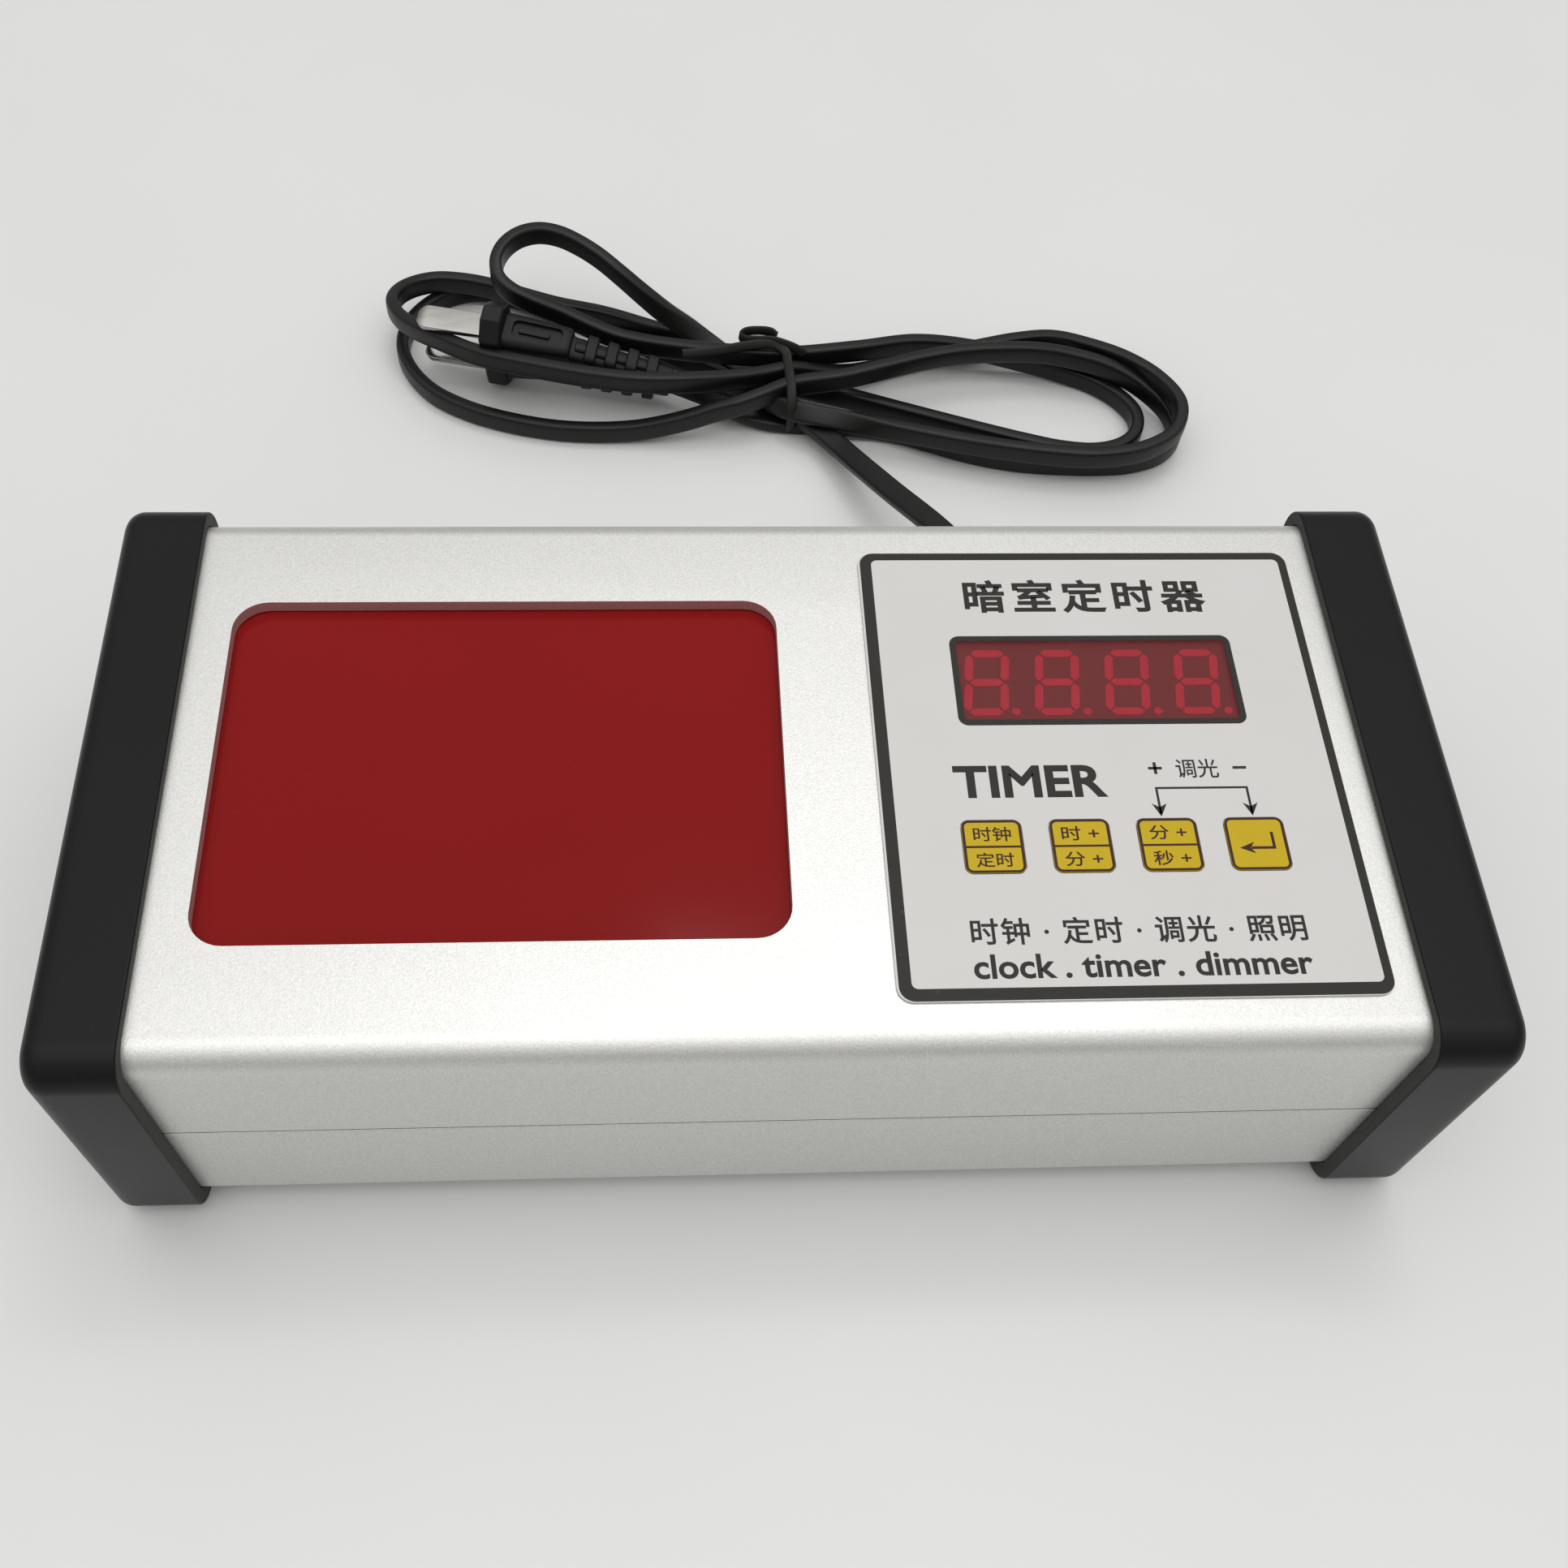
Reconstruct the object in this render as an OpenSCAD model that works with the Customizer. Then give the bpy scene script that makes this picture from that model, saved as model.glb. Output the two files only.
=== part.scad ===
// Darkroom timer with a built-in red safelight, on a flat two-core mains cord.
// A split aluminium extrusion is closed by two moulded end caps, which it stands on.
// The top carries the safelight window on the left and a membrane panel on the right.
// Origin: centre of the case's footprint, on the surface it stands on.
// +X runs to the panel end, +Y to the back where the cord leaves, +Z up.

/* [Case] */
// Length over both end caps
case_length = 236; // [225:1:260]
// Depth over the end caps, front to back
case_depth = 115; // [114:0.5:125]
// Height over the end caps
case_height = 64; // [62:0.5:72]
// Visible length of each end cap
cap_length = 15.3; // [14:0.1:20]
// Rounding of the end cap's long edges
cap_corner = 6.5; // [5:0.5:8]
// Rounding of the end cap's outer face
cap_edge = 3.5; // [2:0.5:4.5]
// Thickness of the end cap's outer wall
cap_wall = 5; // [4.5:0.1:6]
// How far the cap's skirt stands out from the extrusion at front and back
skirt = 2.75; // [2:0.05:3]
// Height of the cap's rim above the top of the extrusion
rim = 2; // [1.5:0.1:3]
// Gap between the extrusion and the surface below
ground_gap = 3; // [2:0.1:5]

/* [Extrusion] */
// Wall thickness of the aluminium
wall = 2.5; // [2:0.1:3]
// Outer rounding of its long edges
shell_corner = 5; // [3.5:0.5:6]
// Height of the joint between the two halves
seam_z = 33.5; // [28:0.5:40]
// Height of the tongue on the lower half
tongue = 3; // [2:0.5:4]

/* [Safelight] */
// Length of the window
window_length = 97; // [80:1:98]
// Depth of the window
window_depth = 68.8; // [60:0.2:70]
// Rounding of the window's corners
window_corner = 6; // [3:0.5:8]
// Distance from the window's centre to the case's centre
window_offset = 47.1; // [45:0.1:50]
// Thickness of the red acrylic pane
pane = 3; // [2:0.5:4]
// Rows of lamps in the safelight
lamp_rows = 4; // [2:1:4]
// Lamps in each row
lamps_per_row = 7; // [3:1:7]

/* [Panel] */
// Length of the membrane panel
panel_length = 81; // [78:0.5:84]
// Depth of the membrane panel
panel_depth = 91.5; // [88:0.5:93]
// Thickness of the membrane panel
panel_sheet = 0.5; // [0.5:0.1:0.8]
// Side of a key
key_size = 10.2; // [9:0.1:11]
// Distance from one key to the next
key_pitch = 15; // [14:0.5:16]
// How far a key goes down
key_travel = 0.25; // [0.15:0.05:0.25]
// Distance from one digit to the next
digit_pitch = 12.7; // [12.7:0.1:12.8]

/* [Cord] */
// Width of the flat two-core cord
cord_width = 5.2; // [4.8:0.1:5.6]
// Thickness of the flat cord
cord_thick = 3.2; // [2.8:0.1:3.4]
// Height above the surface at which the cord leaves the back
cord_exit_z = 18; // [16:0.5:22]

/* [Hidden] */
$fn = 64;
rim_fn = 40;
fit = 0.1;
eps = 0.01;

// Case
half_length = case_length / 2;
shell_depth = case_depth - 2 * skirt;
shell_bottom = ground_gap;
shell_top = case_height - rim;
shell_height = shell_top - shell_bottom;
shell_half = half_length - cap_wall - 0.3;
cap_inner_x = half_length - cap_length;
inner_top = shell_top - wall;
inner_bottom = shell_bottom + wall;
tongue_thick = 1.1;
port_r = 3.2;
port_hole_r = 1.45;
port_y = shell_depth / 2 - wall - port_r + 0.6;
port_top_z = inner_top - port_r + 0.6;
port_bottom_z = inner_bottom + port_r - 0.6;
screw_shank_r = 1.4;
screw_clear_r = 1.7;
head_r = 2.8;
head_h = 2;

// Safelight
window_x = -window_offset;
pane_margin = 3;
tape = 0.2;
pane_top = inner_top - tape;
pane_bottom = pane_top - pane;
tray_length = 94;
tray_depth = 66;
tray_floor_z = 38;
tray_top_z = pane_bottom - 0.3;
tray_wall = 1;
tray_ear_y = 42;
tray_ear_x = 33;
ear_r = 4.5;
ear_z = 55;
lamp_board_t = 1.6;
lamp_board_z = tray_floor_z + tray_wall;
lamp_pitch = 12.5;
wire_x = window_x + 40;
wire_y = 20;
wire_low_z = 22;
wire_r = 0.7;
wire_gap = 1.8;
wire_run = 23;
wire_hole_r = 2.2;

// Panel
panel_x = 57.6;
panel_y = -0.7;
panel_corner = 2.8;
content_x = 58.1;
display_y = 16;
display_length = 51.4;
display_depth = 19.4;
display_corner = 1.8;
key_y = -18.2;
key_corner = 1.4;
key_gap = 0.12;
key_count = 4;
pad_thick = 0.3;
pad_z = shell_top + key_travel + 0.05;
stem_r = 1.75;
stem_hole_r = 2.6;
board_t = 1.6;
board_top = 53.8;
board_z = board_top - board_t;
switch_side = 6;
switch_top = 57.4;
stem_foot = switch_top - 0.65;
module_length = 50.3;
module_depth = 19;
module_top = 61.6;
board_hole_r = 1.6;
board_post_r = 3;
board_posts = [[22, -40], [94, -40], [22, 36], [94, 36]];

// Digits
digit_height = 14.2;
digit_width = 8;
segment = 1.5;
slant = 0.12;
segment_gap = 0.25;
segment_t = 0.12;
dot_r = 0.75;

// Power supply
power_x = 54;
power_length = 84;
power_depth = 84;
power_post_h = 5;
power_z = inner_bottom + power_post_h;
power_top = power_z + board_t;
power_posts = [[16, -38], [92, -38], [16, 38], [92, 38]];
core_x = 34;

// Cord
cord_exit_x = 48;
wall_y = shell_depth / 2;
boot_tip_y = 77;
lead_points = [
    [48, 77, 18], [47.5, 81, 17.8], [45.9, 86, 17.2], [43, 91.5, 16], [39.5, 97.5, 14.3], [35.5, 104.2, 12.3],
    [31.5, 111.3, 10.2], [28, 118, 8], [24.5, 124.9, 5.7], [20.5, 130.6, 4.9], [17, 135.2, 4.5]
];
lead_steps = 2;
lead_sides = 8;
knot_x = 13;
knot_y = 143.2;
knot_depth = 18;
knot_top = 12.6;

// Plug
plug_at = [-60, 153, 12.45];
plug_turn = -12;
plug_lean = 12;
flange_half = 12.3;
flange_flat = 8.5;
flange_deep = 6;
flange_thick = 5;
grip_end = 21;
relief_drop = -1.5;
relief_bend = 8;
relief_length = 24;
blade_pitch = 12.7;

// A rounded rectangle centred on the origin
module rounded(w, d, r) {
    square([w - 2 * r, d], center = true);
    square([w, d - 2 * r], center = true);
    for (x = [-1, 1], y = [-1, 1]) {
        translate([x * (w / 2 - r), y * (d / 2 - r)]) circle(r = r);
    }
}

// A plate with rounded corners, its underside at z
module plate(x, y, z, w, d, h, r) {
    translate([x, y, z]) linear_extrude(h) rounded(w, d, r);
}

// A box given by its centre in plan, its underside and its size
module block(x, y, z, w, d, h) {
    translate([x - w / 2, y - d / 2, z]) cube([w, d, h]);
}

// Lays a Y-Z outline along X, from x0 to x1
module along_x(x0, x1) {
    translate([x0, 0, 0]) rotate([90, 0, 90]) linear_extrude(x1 - x0) children();
}

module post(x, y, z, r, h) {
    translate([x, y, z]) cylinder(r = r, h = h);
}

module drilled_post(x, y, z, r, h, bore) {
    difference() {
        post(x, y, z, r, h);
        post(x, y, z - 1, bore, h + 2);
    }
}

// A pan-head screw with its head's underside at the origin and its shank along -Z
module screw(length) {
    translate([0, 0, -length]) cylinder(r = screw_shank_r, h = length + eps);
    difference() {
        cylinder(r = head_r, h = head_h);
        for (a = [0, 90]) {
            translate([0, 0, head_h]) rotate([0, 0, a]) cube([3.4, 0.7, 2], center = true);
        }
    }
}

// ---- Case ----

// The extrusion's outline, grown by g
module shell_outline(g) {
    translate([0, (shell_top + shell_bottom) / 2]) {
        rounded(shell_depth + 2 * g, shell_height + 2 * g, shell_corner + g);
    }
}

module shell_ring() {
    difference() {
        shell_outline(0);
        shell_outline(-wall);
    }
}

module screw_port(z) {
    for (s = [-1, 1]) {
        translate([s * port_y, z]) circle(r = port_r);
    }
}

module port_bores(z) {
    for (s = [-1, 1]) {
        translate([s * port_y, z]) circle(r = port_hole_r);
    }
}

// The inner half of both side walls, between two heights
module wall_rebate(z0, z1, t) {
    for (s = [-1, 1]) {
        translate([s * (wall_y - wall + t / 2), (z0 + z1) / 2]) square([t, z1 - z0], center = true);
    }
}

module top_profile() {
    difference() {
        union() {
            intersection() {
                shell_ring();
                translate([-case_depth, seam_z]) square([2 * case_depth, case_height]);
            }
            intersection() {
                screw_port(port_top_z);
                shell_outline(-wall / 2);
            }
        }
        port_bores(port_top_z);
        wall_rebate(seam_z - eps, seam_z + tongue + fit, tongue_thick + fit);
    }
}

module bottom_profile() {
    difference() {
        union() {
            intersection() {
                shell_ring();
                translate([-case_depth, -1]) square([2 * case_depth, seam_z + 1]);
            }
            intersection() {
                screw_port(port_bottom_z);
                shell_outline(-wall / 2);
            }
            wall_rebate(seam_z - 1, seam_z + tongue, tongue_thick);
        }
        port_bores(port_bottom_z);
    }
}

module top_shell() {
    color("gainsboro") difference() {
        along_x(-shell_half, shell_half) top_profile();
        plate(window_x, 0, inner_top - 1, window_length, window_depth, wall + 2, window_corner);
        plate(content_x, display_y, inner_top - 1, module_length + 0.7, module_depth + 0.7, wall + 2, 1);
        for (i = [1 : key_count]) {
            post(key_x(i), key_y, inner_top - 1, stem_hole_r, wall + 2);
        }
    }
}

module bottom_shell() {
    color("gainsboro") difference() {
        along_x(-shell_half, shell_half) bottom_profile();
        translate([cord_exit_x, wall_y - wall - 1, cord_exit_z]) {
            rotate([-90, 0, 0]) cylinder(r = 5, h = wall + 2);
        }
    }
}

// The solid outer form of the right end cap, rounded at its outer face
module cap_form() {
    hull() {
        for (s = [-1, 1], t = [0, 1]) {
            translate([cap_inner_x, s * (case_depth / 2 - cap_corner), t * (case_height - 2 * cap_corner) + cap_corner]) {
                rotate([0, 90, 0]) rotate_extrude($fn = rim_fn) {
                    square([cap_corner, cap_length - cap_edge]);
                    intersection() {
                        translate([cap_corner - cap_edge, cap_length - cap_edge]) circle(r = cap_edge, $fn = 32);
                        square([cap_corner, cap_length]);
                    }
                    square([cap_corner - cap_edge, cap_length]);
                }
            }
        }
    }
}

module end_cap() {
    difference() {
        cap_form();
        along_x(cap_inner_x - 1, shell_half + 0.3) shell_outline(fit);
        for (s = [-1, 1], z = [port_top_z, port_bottom_z]) {
            translate([0, s * port_y, z]) rotate([0, 90, 0]) {
                cylinder(r = screw_clear_r, h = half_length + 1);
                translate([0, 0, half_length - head_h - 0.5]) cylinder(r = head_r + 0.3, h = 5);
            }
        }
    }
}

module end_cap_right() {
    color("#1d1d1e") end_cap();
}

module end_cap_left() {
    color("#1d1d1e") mirror([1, 0, 0]) end_cap();
}

module cap_screws() {
    for (s = [-1, 1], z = [port_top_z, port_bottom_z]) {
        translate([half_length - head_h - 0.5, s * port_y, z]) rotate([0, 90, 0]) screw(12);
    }
}

module cap_screws_right() {
    color("silver") cap_screws();
}

module cap_screws_left() {
    color("silver") mirror([1, 0, 0]) cap_screws();
}

// ---- Safelight ----

module safelight_pane() {
    color("darkred") plate(window_x, 0, pane_bottom, window_length + 2 * pane_margin,
        window_depth + 2 * pane_margin, pane, window_corner + pane_margin);
}

module pane_tape() {
    color("white") difference() {
        plate(window_x, 0, pane_top, window_length + 2 * pane_margin, window_depth + 2 * pane_margin, tape,
            window_corner + pane_margin);
        plate(window_x, 0, pane_top - 1, window_length + 1, window_depth + 1, tape + 2, window_corner);
    }
}

module diffuser_sheet() {
    color("whitesmoke") block(window_x, 0, tray_top_z - 2.5, tray_length - 2 * tray_wall - fit,
        tray_depth - 2 * tray_wall - fit, 2);
}

module lamp_tray() {
    color("white") difference() {
        union() {
            block(window_x, 0, tray_floor_z, tray_length, tray_depth, tray_top_z - tray_floor_z);
            for (x = [-1, 1], y = [-1, 1]) {
                post(window_x + x * tray_ear_x, y * (tray_ear_y - 2), ear_z, ear_r, tray_wall);
                block(window_x + x * tray_ear_x, y * (tray_depth / 2 + 2), ear_z, 2 * ear_r, 6, tray_wall);
            }
        }
        block(window_x, 0, tray_floor_z + tray_wall, tray_length - 2 * tray_wall, tray_depth - 2 * tray_wall,
            tray_top_z);
        for (x = [-1, 1], y = [-1, 1]) {
            post(window_x + x * tray_ear_x, y * tray_ear_y, ear_z - 1, board_hole_r, 4);
        }
        post(wire_x, wire_y, tray_floor_z - 1, wire_hole_r, 3);
    }
}

module lamp_board() {
    color("white") difference() {
        block(window_x, 0, lamp_board_z, 88, 56, lamp_board_t);
        post(wire_x, wire_y, lamp_board_z - 1, wire_hole_r, 4);
    }
}

module lamps() {
    color("#f3e9a8") for (i = [0 : lamps_per_row - 1], j = [0 : lamp_rows - 1]) {
        x = window_x + (i - (lamps_per_row - 1) / 2) * lamp_pitch;
        y = (j - (lamp_rows - 1) / 2) * lamp_pitch;
        block(x, y, lamp_board_z + lamp_board_t, 3.5, 2.8, 1.2);
    }
}

module tray_standoffs() {
    color("goldenrod") for (x = [-1, 1], y = [-1, 1]) {
        drilled_post(window_x + x * tray_ear_x, y * tray_ear_y, ear_z + tray_wall, 2.5,
            inner_top - ear_z - tray_wall, port_hole_r);
    }
}

module tray_screws() {
    color("silver") for (x = [-1, 1], y = [-1, 1]) {
        translate([window_x + x * tray_ear_x, y * tray_ear_y, ear_z]) rotate([180, 0, 0]) screw(4);
    }
}

// Two wires from the lamp board down and across to the power board
module lamp_wires() {
    for (s = [-1, 1]) {
        color(s < 0 ? "red" : "black") translate([0, wire_y + s * wire_gap / 2, 0]) {
            post(wire_x, 0, wire_low_z, wire_r, lamp_board_z + lamp_board_t - wire_low_z, $fn = 16);
            translate([wire_x, 0, wire_low_z]) {
                sphere(r = wire_r, $fn = 16);
                rotate([0, 90, 0]) cylinder(r = wire_r, h = wire_run, $fn = 16);
            }
            translate([wire_x + wire_run, 0, wire_low_z]) sphere(r = wire_r, $fn = 16);
            post(wire_x + wire_run, 0, power_top, wire_r, wire_low_z - power_top, $fn = 16);
        }
    }
}

// ---- Panel ----

function key_x(i) = content_x + (i - (key_count + 1) / 2) * key_pitch;

module overlay_panel() {
    color("lightgray") difference() {
        plate(panel_x, panel_y, shell_top, panel_length, panel_depth, panel_sheet, panel_corner);
        plate(content_x, display_y, shell_top - 1, display_length, display_depth, panel_sheet + 2, display_corner);
        for (i = [1 : key_count]) {
            plate(key_x(i), key_y, shell_top - 1, key_size + 2 * key_gap, key_size + 2 * key_gap,
                panel_sheet + 2, key_corner + key_gap);
        }
    }
}

module display_window() {
    color("#5a1a1c") plate(content_x, display_y, shell_top, display_length - 0.02, display_depth - 0.02,
        panel_sheet, display_corner);
}

module display_module() {
    color("#2b2222") block(content_x, display_y, board_top, module_length, module_depth, module_top - board_top);
}

// A bar with pointed ends, centred on the origin; upright bars run along Y
module bar(length, upright) {
    h = segment / 2;
    l = length / 2 - segment_gap;
    p = [[-l, 0], [-l + h, -h], [l - h, -h], [l, 0], [l - h, h], [-l + h, h]];
    q = [for (a = p) upright ? [a[1], a[0]] : a];
    polygon(q);
}

// Leans the seven bars of a digit: the place of each, moved along X with its height
function lean(x, y) = [x + y * slant, y];

module digit() {
    w = digit_width - segment;
    h = digit_height - segment;
    for (y = [-h / 2, 0, h / 2]) {
        translate(lean(0, y)) bar(w, false);
    }
    for (x = [-w / 2, w / 2], y = [-h / 4, h / 4]) {
        translate(lean(x, y)) rotate([0, 0, -7]) bar(h / 2, true);
    }
    translate(lean(w / 2 + 2.1, -h / 2)) circle(r = dot_r, $fn = 24);
}

module display_segments() {
    color("#b3263a") for (i = [0 : 3]) {
        translate([content_x - 0.6 + (i - 1.5) * digit_pitch, display_y, module_top]) {
            linear_extrude(segment_t) digit();
        }
    }
}

module key_pad(i) {
    color("#d7b83a") plate(key_x(i), key_y, pad_z, key_size, key_size, pad_thick, key_corner);
}

module key_stem(i) {
    color("whitesmoke") post(key_x(i), key_y, stem_foot, stem_r, pad_z - stem_foot);
}

module key_pad_1() { key_pad(1); }
module key_pad_2() { key_pad(2); }
module key_pad_3() { key_pad(3); }
module key_pad_4() { key_pad(4); }
module key_stem_1() { key_stem(1); }
module key_stem_2() { key_stem(2); }
module key_stem_3() { key_stem(3); }
module key_stem_4() { key_stem(4); }

module switch_housings() {
    color("#303030") for (i = [1 : key_count]) {
        difference() {
            block(key_x(i), key_y, board_top, switch_side, switch_side, switch_top - board_top);
            post(key_x(i), key_y, stem_foot - key_travel - 0.25, stem_r + fit, 4);
        }
    }
}

module control_board() {
    color("darkgreen") difference() {
        block(content_x, -2, board_z, 80, 86, board_t);
        for (p = board_posts) {
            post(p[0], p[1], board_z - 1, board_hole_r, 4);
        }
    }
}

module board_standoffs() {
    color("goldenrod") for (p = board_posts) {
        drilled_post(p[0], p[1], board_top, board_post_r, inner_top - board_top, port_hole_r);
    }
}

module board_screws() {
    color("silver") for (p = board_posts) {
        translate([p[0], p[1], board_z]) rotate([180, 0, 0]) screw(5);
    }
}

module controller_chip() {
    color("#222222") block(52, -20, board_z - 4, 35, 8, 4);
}

module display_driver() {
    color("#222222") block(52, 12, board_z - 3, 26, 8, 3);
}

module clock_crystal() {
    color("silver") plate(78, -20, board_z - 3.5, 11, 4.6, 3.5, 2.2);
}

module cell_holder() {
    color("#2a2a2c") difference() {
        post(82, 14, board_z - 4.5, 11.5, 4.5);
        post(82, 14, board_z - 5.5, 10.2, 4.7);
    }
}

module backup_cell() {
    color("silver") post(82, 14, board_z - 4.2, 10, 3.2);
}

module buzzer() {
    color("#1a1a1a") difference() {
        post(32, 26, board_z - 8.5, 6, 8.5);
        post(32, 26, board_z - 9, 1, 2);
    }
}

module ribbon_header() {
    color("#e8e4d8") {
        block(72, -36, board_z - 6, 15, 5, 6);
        block(72, -36, power_top, 15, 5, 6);
    }
}

module ribbon_cable() {
    color("gray") block(72, -36, power_top + 6, 12.7, 0.9, board_z - power_top - 12);
}

// ---- Power supply ----

module power_board() {
    color("#8a6a3a") difference() {
        block(power_x, 0, power_z, power_length, power_depth, board_t);
        for (p = power_posts) {
            post(p[0], p[1], power_z - 1, board_hole_r, 4);
        }
    }
}

module power_standoffs() {
    color("goldenrod") for (p = power_posts) {
        drilled_post(p[0], p[1], inner_bottom, board_post_r, power_post_h, port_hole_r);
    }
}

module power_screws() {
    color("silver") for (p = power_posts) {
        translate([p[0], p[1], power_top]) screw(5);
    }
}

module transformer_core() {
    color("#5a5f66") difference() {
        block(core_x, 0, power_top, 42, 15, 35);
        for (s = [-1, 1]) {
            block(core_x + s * 10.5, 0, power_top + 7, 7, 20, 21);
        }
    }
}

module transformer_coil() {
    color("#b5713a") difference() {
        block(core_x, 0, power_top + 7.2, 27.6, 28, 20.6);
        block(core_x, 0, power_top + 6, 14.2, 15.2, 23);
    }
}

module smoothing_capacitor() {
    color("#23304f") post(68, 8, power_top, 6.3, 25);
}

module regulator() {
    color("#222222") block(80, -10, power_top + 3, 10, 4.4, 15);
}

module regulator_heatsink() {
    color("#3a3a3c") {
        block(80, -13.4, power_top, 22, 2.4, 26);
        for (x = [-10, -5, 0, 5, 10]) {
            block(80 + x, -17.4, power_top, 1.4, 5.6, 26);
        }
    }
}

module rectifier_diodes() {
    color("#222222") for (y = [-1.5, -0.5, 0.5, 1.5]) {
        translate([80, 12 + y * 5, power_top + 1.4]) rotate([0, 90, 0]) cylinder(r = 1.35, h = 5.2);
    }
}

module fuse() {
    color("lightgray") translate([20, 32, power_top + 5]) rotate([0, 90, 0]) cylinder(r = 2.6, h = 20);
}

module fuse_clips() {
    color("silver") for (x = [20, 35]) {
        difference() {
            block(x + 2.5, 32, power_top, 5, 8, 7);
            translate([x - 1, 32, power_top + 5]) rotate([0, 90, 0]) cylinder(r = 2.62, h = 10);
            block(x + 2.5, 32, power_top + 5, 7, 4.4, 4);
        }
    }
}

module mains_terminal() {
    color("#2e7d4f") difference() {
        block(cord_exit_x, 36, power_top, 11, 9, 11);
        for (s = [-1, 1]) {
            post(cord_exit_x + s * 2.5, 36, power_top + 8, 1.6, 4);
        }
    }
}

// The two stripped cores, from the boot to the screw terminal
module mains_tails() {
    color("sienna") for (s = [-1, 1]) {
        translate([cord_exit_x + s * 2.5, 40.5, cord_exit_z]) rotate([-90, 0, 0]) {
            cylinder(r = 1.2, h = wall_y - wall - 2 - 40.5);
        }
    }
}

// ---- Cord ----

// Moulded boot: a flange each side of the wall, and a ribbed taper outside
module cord_boot() {
    color("#1b1b1b") translate([cord_exit_x, 0, cord_exit_z]) rotate([-90, 0, 0]) {
        translate([0, 0, wall_y - wall - 2]) cylinder(r = 6.5, h = 2);
        translate([0, 0, wall_y - wall]) cylinder(r = 4.9, h = wall);
        translate([0, 0, wall_y]) cylinder(r = 6.8, h = 2.2);
        translate([0, 0, wall_y + 2.2]) cylinder(r1 = 4.9, r2 = 3.4, h = boot_tip_y - wall_y - 2.2);
    }
}

// A smooth curve through the points, s counted in points from the first
function bend_at(p, s) =
    let (i = min(floor(s), len(p) - 2), t = s - i,
        a = p[max(i - 1, 0)], b = p[i], c = p[i + 1], d = p[min(i + 2, len(p) - 1)])
    b + t * (c - a) / 2 + t * t * (a - 2.5 * b + 2 * c - d / 2) + t * t * t * (3 * (b - c) + d - a) / 2;

// The flat cord's ring of points about the curve, at s
function ring_at(p, s, n) =
    let (u = bend_at(p, min(s + 0.05, len(p) - 1)) - bend_at(p, max(s - 0.05, 0)),
        f = u / norm(u), g = cross(f, [0, 0, 1]), side = g / norm(g), up = cross(side, f))
    [for (k = [0 : n - 1]) bend_at(p, s) + side * cos(360 * k / n) * cord_width / 2
        + up * sin(360 * k / n) * cord_thick / 2];

module swept_cord(p, steps, n) {
    rings = (len(p) - 1) * steps + 1;
    points = [for (j = [0 : rings - 1]) each ring_at(p, j / steps, n)];
    sides = [for (j = [0 : rings - 2], k = [0 : n - 1])
        [j * n + k, (j + 1) * n + k, (j + 1) * n + (k + 1) % n, j * n + (k + 1) % n]];
    ends = [[for (k = [0 : n - 1]) k], [for (k = [n - 1 : -1 : 0]) (rings - 1) * n + k]];
    polyhedron(points, concat(sides, ends), convexity = 6);
}

module cord_lead() {
    color("#161616") swept_cord(lead_points, lead_steps, lead_sides);
}

// An ellipse turned by a, as a list of points
function oval(cx, cy, rx, ry, a) = [for (k = [0 : 47])
    [cx + rx * cos(k * 7.5) * cos(a) - ry * sin(k * 7.5) * sin(a),
        cy + rx * cos(k * 7.5) * sin(a) + ry * sin(k * 7.5) * cos(a)]];

// One bundle of loops: an oval band of the outer shape of its turns
module lobe(cx, cy, rx, ry, a, band_x, band_y, height) {
    linear_extrude(height) difference() {
        polygon(oval(cx, cy, rx, ry, a));
        polygon(oval(cx, cy, rx - band_x, ry - band_y, a));
    }
}

module cord_hank() {
    color("#161616") difference() {
        union() {
            lobe(-37, 158, 51, 27, -8, 9, 12, 15);
            lobe(-24, 163, 37, 15, -14, 7, 7, 28);
            lobe(63, 139, 51, 21, -6, 20, 9, 17);
        }
        block(knot_x, knot_y, -1, 6, 60, 40);
    }
    color("#161616") block(knot_x, knot_y, 1, 6 + 2 * eps, knot_depth, knot_top - 1);
}

module twist_tie() {
    color("#1a1a1a") {
        difference() {
            block(knot_x, knot_y, 0.1, 2.6, knot_depth + 1.8, knot_top + 0.8);
            block(knot_x, knot_y, 1, 4, knot_depth, knot_top - 1);
        }
        block(knot_x - 8, knot_y + 7.5, knot_top + 0.6, 15, 2, 2);
    }
}

// ---- Plug ----

// Puts a plug piece in its place: the plug's length runs along +X from the face of its flange
module as_plug() {
    translate(plug_at) rotate([0, 0, plug_turn]) rotate([plug_lean, 0, 0]) children();
}

// A block that tapers along X, from a section of d0 by h0 to one of d1 by h1
module tapered(x0, x1, d0, h0, d1, h1) {
    hull() {
        translate([x0, 0, 0]) cube([eps, d0, h0], center = true);
        translate([x1, 0, 0]) cube([eps, d1, h1], center = true);
    }
}

module plug_body() {
    color("#151515") as_plug() {
        along_x(0, flange_thick) polygon([
            [-2, -flange_half], [2, -flange_half], [flange_deep, -flange_flat], [flange_deep, flange_flat],
            [2, flange_half], [-2, flange_half], [-flange_deep, flange_flat], [-flange_deep, -flange_flat]
        ]);
        tapered(flange_thick, grip_end, 10, 16, 8, 13);
    }
}

module plug_blades() {
    color("silver") as_plug() for (s = [-1, 1]) {
        translate([-16.5, -3.15, s * blade_pitch / 2 - 0.75]) linear_extrude(1.5) {
            polygon([[0, 1.4], [1.6, 0], [16.5, 0], [16.5, 6.3], [1.6, 6.3], [0, 4.9]]);
        }
    }
}

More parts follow.
